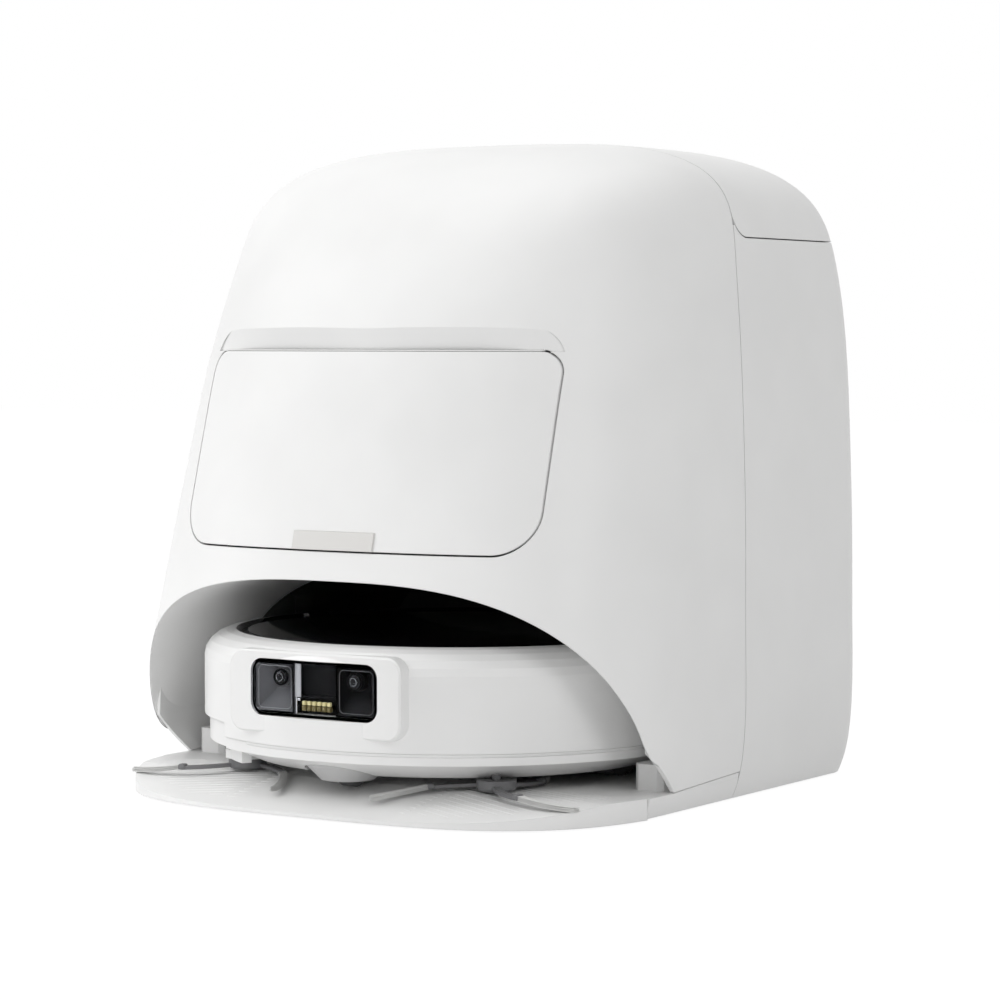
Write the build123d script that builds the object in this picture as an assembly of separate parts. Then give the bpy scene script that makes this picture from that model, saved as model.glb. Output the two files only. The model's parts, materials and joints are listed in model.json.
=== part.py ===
"""A floor-cleaning station with its robot vacuum docked in the bay, as separate pieces.

Millimetres, +Z up. The origin lies on the floor under the middle of the station's box, and the
mouth of the bay faces -Y. Pieces that lie inside the station take the outer form with an inset.
"""

from functools import cache
from math import acos, asin, cos, copysign, degrees, radians, sin, sqrt, tan
import os

from build123d import *

# Station: outer form
station_width = 406.0
station_depth = 415.0
station_height = 443.0
wall = 3.0
belt_height = 43.0
toe_in = 9.7
wall_bow_radius = 4300.0
front_lean = 13.5
front_overrun = 2.2
summit_y = 60.0
side_spring = 366.0
front_spring = 236.0
back_spring = 284.0
side_power = 3.4
front_power = 3.13
back_power = 2.5
plan_power = 2.7
widest_low_y = -82.0
crown_flat = 1.0
rear_corner = 31.0

# Station: seams between its shells
seam_gap = 0.8
parting_y = 19.0
parting_lean = 1.6
parting_bow = 0.8
lid_seam_height = 377.0
lid_corner = 16.0
leg_tip_y = -68.0
leg_rake = 34.0
leg_rake_rise = 29.0
leg_seam_height = 16.0
leg_seam_rise = 4.0

# Station: bay mouth, liner and floor
arch_half_width = 202.5
arch_height = 151.5
arch_power = 2.9
reveal_depth = 52.0
reveal_wall = 2.4
liner_half_width = 192.6
liner_height = 152.0
liner_power = 3.4
liner_wall = 2.5
liner_back_gap = 7.0
floor_height = 15.5
foot_height = 1.5
foot_radius = 11.0
ramp_nose = 4.0
ramp_run = 75.0
ramp_seam_y = -97.0
ramp_power = 3.5
ramp_base_y = 18.0
guide_inner = 169.0
guide_width = 21.0
guide_length = 100.0
guide_height = 17.5
tray_recess = 6.0
tray_wall = 1.6

# Station: front hatch
hatch_top = 300.7
hatch_bottom = 171.3
hatch_half_width_top = 140.0
hatch_half_width_bottom = 141.0
hatch_corner_top = 15.0
hatch_corner_bottom = 27.0
hatch_gap = 1.2
hatch_hinge_drop = 12.0
hatch_hinge_depth = 8.0
knuckle_radius = 3.6
knuckle_length = 12.0
knuckle_x = 22.0
hinge_pin_radius = 1.8
hinge_play = 0.06
ear_width = 3.0
ear_play = 0.4
scoop_height = 15.5
scoop_depth = 6.0
scoop_corner = 26.0
tab_width = 64.0
tab_height = 12.0
tab_proud = 1.2

# Station: inside
inner_play = 0.4
deck_height = 154.9
deck_thick = 3.0
bulkhead_y = 36.0
chamber_half_width = 122.0
chamber_wall = 2.5
chamber_front_y = -92.0
flange_width = 22.0
chamber_top = 296.0
bag_play = 4.0
duct_width = 24.0
duct_wall = 2.0
tank_play = 3.0
tank_wall = 2.2
tank_top = 372.0
tank_split = 15.0
cap_radius = 21.0
cap_height = 9.0
motor_radius = 40.0
motor_height = 74.0
pump_radius = 17.0
pump_height = 46.0
board_thick = 1.6
inlet_width = 30.0
inlet_height = 22.0
inlet_x = 80.0
collar_thick = 3.0
contact_half = 34.0
contact_width = 26.0

# Station: lid hinge
lid_hinge_back = 5.0
lid_knuckle_radius = 5.0
lid_knuckle_length = 26.0
lid_hinge_x = 80.0
lid_pin_radius = 2.0

# Robot: body
robot_radius = 175.0
robot_lead = 13.5
robot_clear = 9.0
skirt_height = 20.5
ring_height = 28.0
ring_radius = 173.5
pan_radius = 142.0
chassis_height = 31.0
shoulder_height = 78.0
rim_height = 95.1
rim_radius = 153.4
rim_lip = 3.0
cover_radius = 145.5
cover_rise = 3.2
shell_thick = 2.5
running_gap = 0.4
bumper_half_angle = 100.0
bumper_travel = 3.5

# Robot: sensor front
bezel_width = 137.0
bezel_height = 54.0
bezel_corner = 11.0
bezel_back = 4.5
window_width = 101.0
window_height = 37.4
window_corner = 9.0
window_center = 66.4
window_thick = 2.0
pod_depth = 13.0
lens_radius = 6.4
lens_length = 5.0
lens_spacing = 59.0
lens_rise = 6.5
led_count = 6
led_pitch = 4.0
led_size = 2.6

# Robot: running gear
wheel_radius = 35.0
wheel_width = 22.0
wheel_track = 236.0
wheel_back = 6.0
tyre_thick = 6.0
well_play = 3.0
arm_thick = 12.0
arm_reach = 44.0
arm_width = 16.0
arm_pivot_height = 22.0
axle_radius = 3.0
tread_count = 24
tread_depth = 1.4
caster_forward = 132.0
caster_base_radius = 28.0
caster_tip_radius = 18.0
caster_height = 20.0
caster_recess = 16.0
caster_wheel_radius = 11.0
caster_wheel_width = 13.0
caster_trail = 4.0
caster_dip = 0.9
roller_radius = 19.0
roller_core = 11.0
roller_length = 166.0
roller_forward = 24.0
roller_fins = 6
fin_thick = 2.4
mop_radius = 62.0
mop_x = 66.0
mop_back = 92.0
mop_disc_thick = 4.0
mop_pad_thick = 7.0
mop_motor_radius = 20.0
pad_lift = 0.5
spindle_radius = 6.0

# Robot: side brushes
brush_x = 101.0
brush_forward = 108.0
brush_hub_radius = 13.0
brush_hub_height = 7.0
brush_shaft_radius = 3.0
stem_reach = 44.0
stem_sweep = 5.0
stem_width = 5.0
stem_thick = 2.4
stem_droop = 2.8
stem_angles = (-159.0, -39.0, 81.0)
clip_length = 5.0
swing_pivot_x = 138.0
swing_pivot_forward = 32.0
swing_travel = 22.0
swing_plate = 6.0
swing_boss = 10.0
notch_from = 30.0
notch_to = 72.0
notch_height = 38.0
cover_to = 62.0
tuft_bend = 26.0
tuft_length = 42.0
tuft_drops = (5.0, 5.0, 0.0)
strand_side = 0.4
strand_pitch = 0.64
strand_rows = 5
strand_columns = 11

# Places that follow from the sizes above
half_depth = station_depth / 2
robot_y = robot_radius + robot_lead - half_depth
robot_floor = floor_height
bay_back = robot_y + robot_radius + liner_back_gap
far = 2 * station_depth
below = -station_height
above = 2 * station_height
inlet_z = 2 * belt_height
port_z = robot_floor + chassis_height + 1.3 * duct_width
contact_z = robot_floor + (skirt_height + ring_height) / 2
contact_height = ring_height - skirt_height - 2 * running_gap
contact_face_y = robot_y + ring_radius - 1.0
motor_x = -chamber_half_width / 2
motor_y = chamber_front_y / 2
window_y = robot_y - robot_radius + bezel_back
window_z = robot_floor + window_center
swing_low = robot_floor + robot_clear
swing_top = swing_low + swing_plate
swing_pivot_y = robot_y - swing_pivot_forward
brush_y = robot_y - brush_forward
wheel_y = robot_y + wheel_back
wheel_z = robot_floor + pad_lift + wheel_radius
pivot_y = wheel_y - arm_reach
pivot_z = robot_floor + arm_pivot_height
roller_y = robot_y - roller_forward
roller_z = robot_floor + pad_lift + roller_radius
roller_end = roller_length / 2 + well_play
caster_y = robot_y - caster_forward
mop_y = robot_y + mop_back
disc_top = robot_floor + pad_lift + mop_pad_thick + mop_disc_thick
chassis_top = robot_floor + chassis_height
deck_radius = robot_radius - bezel_back - window_thick - pod_depth - bumper_travel - 10 * running_gap
deck_top = rim_height - rim_lip - shell_thick - 4 * running_gap
caster_wheel_z = robot_floor - caster_dip + caster_wheel_radius
brush_top = swing_low - running_gap
stem_z = brush_top - brush_hub_height / 2
stem_radius = (stem_reach**2 / 4 + stem_sweep**2) / (2 * stem_sweep)
stem_middle = (stem_reach / 2, stem_radius - stem_sweep)
stem_turn = degrees(asin(stem_reach / 2 / stem_radius))


def block(x0, x1, y0, y1, z0, z1):
    """A box between two corners."""
    middle = Pos((x0 + x1) / 2, (y0 + y1) / 2, (z0 + z1) / 2)
    return middle * Box(x1 - x0, y1 - y0, z1 - z0)


def post(radius, z0, z1, x=0.0, y=0.0):
    """An upright cylinder from z0 to z1."""
    return Pos(x, y, (z0 + z1) / 2) * Cylinder(radius, z1 - z0)


def bar(radius, x0, x1, y, z):
    """A cylinder that lies along X."""
    return Pos((x0 + x1) / 2, y, z) * Rot(0, 90, 0) * Cylinder(radius, x1 - x0)


def side_prism(points, x0, x1, rounded=()):
    """A prism along X with its outline given in Y and Z; rounded is (point number, radius)."""
    outline = make_face(Polyline(*points, close=True))
    corners = outline.vertices()
    for index, radius in rounded:
        at = Vector(*points[index])
        corner = min(corners, key=lambda v: (Vector(v.X, v.Y) - at).length)
        outline = fillet(corner, radius)
    plane = Plane(origin=(x0, 0, 0), x_dir=(0, 1, 0), z_dir=(1, 0, 0))
    return extrude(plane * outline, x1 - x0)


def front_prism(face, y0, y1):
    """A prism along Y of a face drawn in X and Z."""
    plane = Plane(origin=(0, y1, 0), x_dir=(1, 0, 0), z_dir=(0, -1, 0))
    return extrude(plane * face, y1 - y0)


def turned(points, arc=360.0, start=0.0):
    """A ring turned about the robot's own upright axis from an outline in radius and height."""
    outline = Plane.XZ * make_face(Polyline(*points, close=True))
    ring = revolve(outline, Axis.Z, arc)
    return Pos(0, robot_y, robot_floor) * Rot(0, 0, start) * ring


def mirrored(shape):
    """The same shape on the other side of the middle plane."""
    return mirror(shape, Plane.YZ)


def bowed(half, reach, power, steps=6):
    """Points of half a superellipse, from (-half, 0) over (0, reach) to (half, 0)."""
    points = [(-half, 0.0)]
    for k in range(1 - steps, steps):
        turn = radians(90 * k / steps)
        across = half * copysign(abs(sin(turn)) ** (2 / power), turn)
        points.append((across, reach * cos(turn) ** (2 / power)))
    points.append((half, 0.0))
    return points


# The station's outer form


def dome(z, spring, inset, power):
    """How far a wall is still out at a height, from 1 at its spring line to 0 at the summit."""
    top = station_height - inset + crown_flat
    rise = max(0.0, (z - spring) / (top - spring))
    return (1 - rise**power) ** (1 / power)


def half_width(z, inset):
    """Half the station's width at a height."""
    low = max(0.0, belt_height - z) / belt_height
    high = max(0.0, z - belt_height)
    straight = station_width / 2 - inset - toe_in * low**2 - high**2 / (2 * wall_bow_radius)
    return straight * dome(z, side_spring, inset, side_power)


def front_edge(z, inset):
    """Y of the front's middle line at a height."""
    lean = radians(front_lean)
    leaning = inset / cos(lean) - half_depth - front_overrun + z * tan(lean)
    return summit_y - (summit_y - leaning) * dome(z, front_spring, inset, front_power)


def back_edge(z, inset):
    """Y of the back's middle line at a height."""
    bow = (z - back_spring) ** 2 / (2 * wall_bow_radius)
    upright = half_depth - inset - bow
    return summit_y + (upright - summit_y) * dome(z, back_spring, inset, back_power)


def widest_line(z):
    """Y where the front's curve reaches the side at a height."""
    return widest_low_y + (summit_y - widest_low_y) * min(1.0, max(0.0, z) / side_spring)


def front_face_y(x, z, inset=0.0):
    """Y of the front's surface at a place across and up."""
    across = min(1.0, abs(x) / half_width(z, inset))
    reach = widest_line(z) - front_edge(z, inset)
    return widest_line(z) - reach * (1 - across**plan_power) ** (1 / plan_power)


def rear_round(z, inset):
    """Radius of the two rear corners at a height."""
    return rear_corner * min(1.0, (back_edge(z, inset) - summit_y) / (half_depth - summit_y))


def wall_points(z, inset):
    """Points along the left side, the superelliptic front and the right side at a height."""
    w = half_width(z, inset)
    widest = widest_line(z)
    end = back_edge(z, inset) - rear_round(z, inset)
    curve = [(x, widest - y, z) for x, y in bowed(w, widest - front_edge(z, inset), plan_power, 5)]
    flank = [end, widest + (end - widest) * 0.6, widest + (end - widest) * 0.25]
    left = [(-w, y, z) for y in flank]
    right = [(w, y, z) for y in reversed(flank)]
    return left + curve + right


@cache
def wall_spacing():
    """How far along the walls each of their points lies, the same at every height."""
    points = [Vector(*point) for point in wall_points(belt_height, 0.0)]
    total = [0.0]
    for here, there in zip(points, points[1:]):
        total.append(total[-1] + (there - here).length)
    return [length / total[-1] for length in total]


def form_section(z, inset):
    """The outline at one height: the walls in one curve, two rear corners and a straight back."""
    w = half_width(z, inset)
    back = back_edge(z, inset)
    corner = rear_round(z, inset)
    points = [Vector(*point) for point in wall_points(z, inset)]
    ends = [Vector(0, -1, 0), Vector(0, 1, 0)]
    walls = Edge.make_spline(points, tangents=ends, parameters=wall_spacing())
    right_round = RadiusArc((w, back - corner, z), (w - corner, back, z), -corner)
    rear = Line((w - corner, back, z), (corner - w, back, z))
    left_round = RadiusArc((corner - w, back, z), (-w, back - corner, z), -corner)
    return make_face([walls, right_round, rear, left_round])


@cache
def form(inset=0.0, foot=0.0):
    """The station's outer form, drawn in on every side by an inset."""
    top = station_height - inset
    heights = [foot, belt_height / 2, belt_height]
    steps = 5
    for k in range(1, steps + 1):
        heights.append(belt_height + (side_spring - belt_height) * k / steps)
    for turn in (16, 32, 48, 62, 75):
        heights.append(side_spring + (top - side_spring) * sin(radians(turn)))
    heights.append(top)
    return loft([form_section(z, inset) for z in heights])


def parting(z):
    """Y of the seam between the front shell and the rear housing, which is very slightly bowed."""
    share = min(1.0, max(0.0, z / station_height))
    return parting_y + z * tan(radians(parting_lean)) + 4 * parting_bow * share * (1 - share)


def parting_line(low, off):
    """Points up the parting seam from a height to past the top, moved back by an offset."""
    steps = 7
    points = []
    for k in range(steps + 1):
        z = low + (1.1 * station_height - low) * k / steps
        points.append((parting(z) + off, z))
    return points


outer = form()
inner = form(wall, -2 * foot_height)
skin = outer - inner


def front_zone(back_off):
    """Everything ahead of the parting seam and above the leg's seam."""
    rise = leg_seam_height + leg_seam_rise
    points = [(-far, leg_seam_height), (leg_tip_y, leg_seam_height)]
    points += parting_line(rise, -back_off)
    points.append((-far, 1.1 * station_height))
    return side_prism(points, -far, far)


def lid_zone(off):
    """Everything above the lid's seam and behind the parting seam, with its rounded corner."""
    points = [
        (parting(lid_seam_height) + off, lid_seam_height + off),
        (far, lid_seam_height + off),
        (far, above),
        (parting(above) + off, above),
    ]
    return side_prism(points, -far, far, [(0, lid_corner)])


def rear_zone(off):
    """Everything behind the parting seam."""
    points = [(parting(0) + off, below), (far, below), (far, 1.1 * station_height)]
    points += reversed(parting_line(0, off))
    return side_prism(points, -far, far)


def arch_face(half, height, power, grow=0.0):
    """The bay's mouth, drawn in X and Z down past the floor."""
    crown = Spline(*bowed(half + grow, height + grow, power, 12), tangents=[(0, 1), (0, -1)])
    low = -2 * foot_height
    right = Line((half + grow, 0), (half + grow, low))
    bottom = Line((half + grow, low), (-half - grow, low))
    left = Line((-half - grow, low), (-half - grow, 0))
    return make_face([crown, right, bottom, left])


def hatch_face(grow=0.0):
    """The hatch's outline in X and Z, with tighter corners above than below."""
    points = [
        (-hatch_half_width_bottom - grow, hatch_bottom - grow),
        (hatch_half_width_bottom + grow, hatch_bottom - grow),
        (hatch_half_width_top + grow, hatch_top + grow),
        (-hatch_half_width_top - grow, hatch_top + grow),
    ]
    outline = make_face(Polyline(*points, close=True))
    outline = fillet(outline.vertices().sort_by(Axis.Y)[-2:], hatch_corner_top + grow)
    return fillet(outline.vertices().sort_by(Axis.Y)[:2], hatch_corner_bottom + grow)


# Hinge line of the front hatch
hatch_axis_z = hatch_top - hatch_hinge_drop
hatch_axis_y = front_edge(hatch_axis_z, 0) + hatch_hinge_depth

# Hinge line of the tank lid
lid_axis_z = lid_seam_height
lid_axis_y = back_edge(lid_seam_height, 0) + lid_hinge_back


def front_shell():
    """The leaning front with the bay's mouth, the hatch's opening and the scoop above it."""
    shell = skin & front_zone(seam_gap / 2)
    rake = [
        (-far, below),
        (leg_tip_y, below),
        (leg_tip_y, leg_seam_height),
        (leg_tip_y - leg_rake, leg_seam_height + leg_rake_rise),
        (leg_tip_y - leg_rake, above),
        (-far, above),
    ]
    mouth = front_prism(arch_face(arch_half_width, arch_height, arch_power), -far, far)
    mouth &= side_prism(rake, -far, far)
    lip = front_prism(arch_face(arch_half_width, arch_height, arch_power, reveal_wall), -far,
                      leg_tip_y + reveal_depth)
    lip -= front_prism(arch_face(arch_half_width, arch_height, arch_power), -2 * far, far)
    shell += lip & outer & front_zone(seam_gap / 2)
    shell -= mouth
    scoop_low = hatch_top + hatch_gap
    scoop_top = scoop_low + scoop_height
    half = hatch_half_width_top + hatch_gap
    backing = block(-half - wall, half + wall, -far, widest_low_y, scoop_low, scoop_top + wall)
    shell += (backing & outer) - form(wall + scoop_depth)
    groove = []
    for share in (-1.0, -0.8, 0.0, 0.8, 1.0):
        x = share * half
        low_y = front_face_y(x, scoop_low) + scoop_depth * (1 - 0.85 * share**8)
        top_y = front_face_y(x, scoop_top) - scoop_depth / 8
        section = Polyline((x, -far, hatch_top), (x, low_y, hatch_top), (x, low_y, scoop_low),
                           (x, top_y, scoop_top), (x, -far, scoop_top), close=True)
        groove.append(make_face(section))
    rounds = make_face(Polyline((-half, hatch_bottom), (half, hatch_bottom), (half, scoop_top),
                                (-half, scoop_top), close=True))
    rounds = fillet(rounds.vertices().sort_by(Axis.Y)[2:], scoop_corner)
    shell -= loft(groove) & front_prism(rounds, -far, widest_low_y)
    return shell - front_prism(hatch_face(hatch_gap), -far, leg_tip_y)


def rear_housing():
    """The back half of the casing, down to the floor, with the ears of the lid's hinge."""
    shell = skin & rear_zone(seam_gap / 2)
    shell -= lid_zone(-seam_gap / 2)
    shell &= block(-far, far, -far, far, foot_height, lid_seam_height + lid_corner / 2)
    for side in (-1, 1):
        for end in (-1, 1):
            x = side * lid_hinge_x + end * (lid_knuckle_length / 2 + ear_play + ear_width / 2)
            ear = bar(lid_knuckle_radius, x - ear_width / 2, x + ear_width / 2, lid_axis_y, lid_axis_z)
            root = back_edge(lid_axis_z - 4 * lid_knuckle_radius, 0)
            web = [
                (lid_axis_y - lid_knuckle_radius, lid_axis_z - seam_gap),
                (lid_axis_y + lid_knuckle_radius, lid_axis_z),
                (root, lid_axis_z - 4 * lid_knuckle_radius),
                (root - wall, lid_axis_z - 4 * lid_knuckle_radius),
            ]
            ear += side_prism(web, x - ear_width / 2, x + ear_width / 2)
            shell += ear - inner
        half = lid_knuckle_length / 2 + ear_play
        shell -= bar(lid_knuckle_radius + inner_play, side * lid_hinge_x - half, side * lid_hinge_x + half,
                     lid_axis_y, lid_axis_z)
        shell -= bar(lid_pin_radius, side * lid_hinge_x - lid_knuckle_length,
                     side * lid_hinge_x + lid_knuckle_length, lid_axis_y, lid_axis_z)
    inlet = block(inlet_x - inlet_width / 2, inlet_x + inlet_width / 2, half_depth - 5 * wall, far,
                  inlet_z - inlet_height / 2, inlet_z + inlet_height / 2)
    return shell - inlet


def tank_lid():
    """The lid over the tanks, with the knuckles that turn on the hinge pins."""
    shell = skin & lid_zone(seam_gap / 2)
    for side in (-1, 1):
        x = side * lid_hinge_x
        half = lid_knuckle_length / 2
        knuckle = bar(lid_knuckle_radius, x - half, x + half, lid_axis_y, lid_axis_z)
        rise = lid_axis_z + 2 * lid_knuckle_radius
        web = [
            (lid_axis_y - lid_knuckle_radius / 2, lid_axis_z + seam_gap),
            (lid_axis_y + lid_knuckle_radius, lid_axis_z),
            (back_edge(rise, 0), rise),
            (back_edge(rise, 0) - wall, rise),
            (back_edge(lid_axis_z, 0) - wall, lid_axis_z + seam_gap),
        ]
        shell += (knuckle + side_prism(web, x - half, x + half)) - inner
        shell -= bar(lid_pin_radius + hinge_play, x - lid_knuckle_length, x + lid_knuckle_length,
                     lid_axis_y, lid_axis_z)
    return shell


def lid_hinge_pins():
    """Two pins, held in the housing's ears."""
    half = lid_knuckle_length / 2 + ear_play + ear_width
    pins = [bar(lid_pin_radius, side * lid_hinge_x - half, side * lid_hinge_x + half, lid_axis_y, lid_axis_z)
            for side in (-1, 1)]
    return Compound(children=pins)


def hatch_panel():
    """The hatch's curved panel, with two knuckles behind its upper edge and a seat for the tab."""
    panel = (outer & front_prism(hatch_face(), -far, widest_low_y)) - inner
    for side in (-1, 1):
        x = side * knuckle_x
        half = knuckle_length / 2
        knuckle = bar(knuckle_radius, x - half, x + half, hatch_axis_y, hatch_axis_z)
        web = block(x - half, x + half, hatch_axis_y - hatch_hinge_depth, hatch_axis_y,
                    hatch_axis_z - knuckle_radius, hatch_axis_z + knuckle_radius)
        panel += (knuckle + web) & form(wall / 2)
        panel -= bar(hinge_pin_radius + hinge_play, x - knuckle_length, x + knuckle_length,
                     hatch_axis_y, hatch_axis_z)
    seat = block(-tab_width / 2, tab_width / 2, -far, widest_low_y, hatch_bottom - hatch_gap,
                 hatch_bottom + tab_height)
    return panel - (seat - form(wall / 2))


def hatch_pull_tab():
    """The finger tab let into the hatch's lower edge, standing a little proud of it."""
    zone = block(-tab_width / 2, tab_width / 2, -far, widest_low_y, hatch_bottom, hatch_bottom + tab_height)
    lift = Pos(0, -tab_proud, 0) * outer
    return (lift & zone) - form(wall / 2)


def hatch_hinge_pins():
    """Two pins, held in the ears ahead of the dust chamber."""
    half = knuckle_length / 2 + ear_play + ear_width
    pins = [bar(hinge_pin_radius, side * knuckle_x - half, side * knuckle_x + half, hatch_axis_y, hatch_axis_z)
            for side in (-1, 1)]
    return Compound(children=pins)


def base_plinth():
    """The floor of the station, with curbs under the legs and guides beside the robot."""
    flush = outer & block(-far, far, ramp_seam_y, parting_y, foot_height, floor_height)
    side = half_width(foot_height, wall) - inner_play
    back = back_edge(foot_height, wall) - inner_play
    inside = block(-side, side, 0, back, foot_height, floor_height)
    plate = flush + fillet(inside.edges().filter_by(Axis.Z).sort_by(Axis.Y)[2:], rear_corner)
    curb_points = [
        (leg_tip_y, floor_height),
        (parting(0) - seam_gap, floor_height),
        (parting(0) - seam_gap, leg_seam_height + leg_seam_rise - seam_gap / 2),
        (leg_tip_y, leg_seam_height - seam_gap / 2),
    ]
    curbs = skin & side_prism(curb_points, -far, far)
    guide = block(guide_inner, guide_inner + guide_width, leg_tip_y, leg_tip_y + guide_length,
                  floor_height, floor_height + guide_height)
    guide = chamfer(guide.edges().filter_by(Axis.Z).sort_by(Axis.Y)[:2], guide_width / 6)
    well = Pos(0, 0, floor_height - tray_recess) * extrude(tray_outline(inner_play), far)
    return Compound(children=[plate - well, *curbs.solids(), guide, mirrored(guide)])


def tray_outline(grow):
    """The wash tray's outline under the two mops, in X and Y."""
    reach = mop_radius + 4 * tray_wall + grow
    rounds = [Pos(side * mop_x, robot_y + mop_back) * Circle(reach) for side in (-1, 1)]
    middle = Pos(0, robot_y + mop_back) * Rectangle(2 * mop_x, 2 * reach)
    return rounds[0] + middle + rounds[1]


def wash_tray():
    """The lift-out tray that the mops wash in, with a washboard of ribs under each mop."""
    low = floor_height - tray_recess
    tray = Pos(0, 0, low) * extrude(tray_outline(0.0), tray_recess)
    tray -= Pos(0, 0, low + tray_wall) * extrude(tray_outline(-2 * tray_wall), tray_recess)
    rib_top = floor_height - inner_play
    for side in (-1, 1):
        for k in range(-4, 5):
            y = robot_y + mop_back + k * mop_radius / 5
            half = sqrt(mop_radius**2 - (k * mop_radius / 5) ** 2) - tray_wall
            rib = block(side * mop_x - half, side * mop_x + half, y - tray_wall, y + tray_wall,
                        low + tray_wall / 2, rib_top)
            tray += rib
    return tray


def ramp_plate():
    """The curved ramp ahead of the bay, thin at its nose."""
    reach = half_depth + ramp_base_y
    curve = bowed(station_width / 2, reach, ramp_power)
    nose = Spline(*[(x, ramp_base_y - y) for x, y in curve], tangents=[(0, -1), (0, 1)])
    closing = Line((station_width / 2, ramp_base_y), (-station_width / 2, ramp_base_y))
    plate = extrude(make_face([nose, closing]), floor_height)
    crest_y = ramp_run - half_depth
    side = [
        (-half_depth - 1, foot_height),
        (ramp_seam_y - seam_gap / 2, foot_height),
        (ramp_seam_y - seam_gap / 2, floor_height),
        (crest_y, floor_height),
        (-half_depth - 1, ramp_nose),
    ]
    return plate & side_prism(side, -far, far)


def rubber_feet():
    """Round rubber feet under the plinth and the ramp."""
    places = []
    for side in (-1, 1):
        for y in (half_depth - 3 * foot_radius, parting_y, ramp_seam_y + 2 * foot_radius):
            places.append((side * (station_width / 2 - 4 * foot_radius), y))
    places.append((0, ramp_seam_y - 4 * foot_radius))
    feet = [post(foot_radius, 0, foot_height, x, y) for x, y in places]
    return Compound(children=feet)


def bay_liner():
    """The dark tunnel that the robot drives into, with its back wall."""
    start = leg_tip_y + reveal_depth + seam_gap
    face = arch_face(liner_half_width, liner_height, liner_power)
    thick = arch_face(liner_half_width, liner_height, liner_power, liner_wall)
    tunnel = front_prism(thick, start, bay_back + liner_wall) - front_prism(face, start - 1, bay_back)
    tunnel &= block(-far, far, -far, far, floor_height, above)
    port = block(-duct_width / 2 + duct_wall, duct_width / 2 - duct_wall, bay_back - 1, far,
                 port_z - duct_width / 2 + duct_wall, port_z + duct_width / 2 - duct_wall)
    return tunnel - port - contact_slots()


def contact_slots():
    """The two windows in the bay's back wall that the charging contacts stand in."""
    slots = []
    for side in (-1, 1):
        slots.append(block(side * contact_half - contact_width / 2, side * contact_half + contact_width / 2,
                           bay_back - 1, bay_back + liner_wall + 1,
                           contact_z - contact_height / 2, contact_z + contact_height / 2))
    return slots[0] + slots[1]


def charging_contacts():
    """Two sprung contact plates in the bay's back wall."""
    plates = []
    for side in (-1, 1):
        x = side * contact_half
        half = contact_width / 2 - running_gap / 2
        tall = contact_height / 2 - running_gap / 2
        plate = block(x - half, x + half, contact_face_y + running_gap, bay_back + 2 * liner_wall,
                      contact_z - tall, contact_z + tall)
        plate = chamfer(plate.edges().filter_by(Axis.X).sort_by(Axis.Y)[:2], tall / 2)
        plates.append(plate)
    return Compound(children=plates)


def inner_frame():
    """The deck over the bay and the bulkhead that parts the tanks from the dust chamber."""
    top = deck_height + deck_thick
    side = half_width(tank_top, wall) - 4 * tank_play
    deck = block(-side, side, chamber_front_y, bay_back + liner_wall, deck_height, top)
    frame = deck + block(-side, side, bulkhead_y, bulkhead_y + deck_thick, deck_height, tank_top)
    passage = block(-duct_width / 2 - inner_play, duct_width / 2 + inner_play, bulkhead_y - 1,
                    bulkhead_y + deck_thick + 1, top - 1, top + duct_width + inner_play)
    return frame - passage


def dust_chamber():
    """The open-fronted box behind the hatch, with the ears that carry the hatch."""
    low = deck_height + deck_thick
    w = chamber_half_width
    t = chamber_wall
    chamber = block(-w, w, chamber_front_y, bulkhead_y, low, chamber_top)
    rim = block(-w - flange_width, w + flange_width, chamber_front_y, chamber_front_y + t, low,
                chamber_top + 2 * t)
    chamber += rim
    chamber -= block(t - w, w - t, chamber_front_y - 1, bulkhead_y - t, low + t, chamber_top - t)
    mouth = duct_width - 2 * duct_wall
    chamber -= block(-mouth / 2, mouth / 2, bulkhead_y - 2 * t, bulkhead_y + 1, low + duct_wall + t,
                     low + duct_width - duct_wall)
    vent = post(motor_radius / 2, chamber_top - 2 * t, chamber_top + 1, motor_x, motor_y)
    chamber -= vent
    for side in (-1, 1):
        for end in (-1, 1):
            x = side * knuckle_x + end * (knuckle_length / 2 + ear_play + ear_width / 2)
            arm = block(x - ear_width / 2, x + ear_width / 2, hatch_axis_y, chamber_front_y + t,
                        hatch_axis_z - knuckle_radius, hatch_axis_z + knuckle_radius / 2)
            arm += bar(knuckle_radius, x - ear_width / 2, x + ear_width / 2, hatch_axis_y, hatch_axis_z)
            arm += block(x - ear_width / 2, x + ear_width / 2, chamber_front_y - t, chamber_front_y + t,
                         hatch_axis_z - knuckle_radius, chamber_top)
            arm -= bar(hinge_pin_radius, x - ear_width, x + ear_width, hatch_axis_y, hatch_axis_z)
            chamber += arm
    return chamber


def dust_bag():
    """The bag that hangs in the chamber, as a plain filled form with rounded edges."""
    low = deck_height + deck_thick + chamber_wall + bag_play / 8
    reach = chamber_half_width - chamber_wall - bag_play
    back = bulkhead_y - chamber_wall - collar_thick - bag_play / 8
    bag = block(-reach, reach, chamber_front_y + 2 * bag_play, back, low, chamber_top - 5 * bag_play)
    bag = fillet(bag.edges().filter_by(Axis.Z), 4 * bag_play)
    return fillet(bag.faces().sort_by(Axis.Z)[-1].edges(), 3 * bag_play)


def bag_collar():
    """The stiff plate at the bag's neck, seated on the chamber's back wall round the duct's mouth."""
    low = deck_height + deck_thick + chamber_wall
    back = bulkhead_y - chamber_wall
    mouth = duct_width - 2 * duct_wall
    plate = block(-2 * duct_width, 2 * duct_width, back - collar_thick, back, low, low + 2.5 * duct_width)
    hole = block(-mouth / 2, mouth / 2, back - 2 * collar_thick, back + 1, low + duct_wall,
                 low + duct_width - duct_wall - chamber_wall)
    return plate - hole


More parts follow.
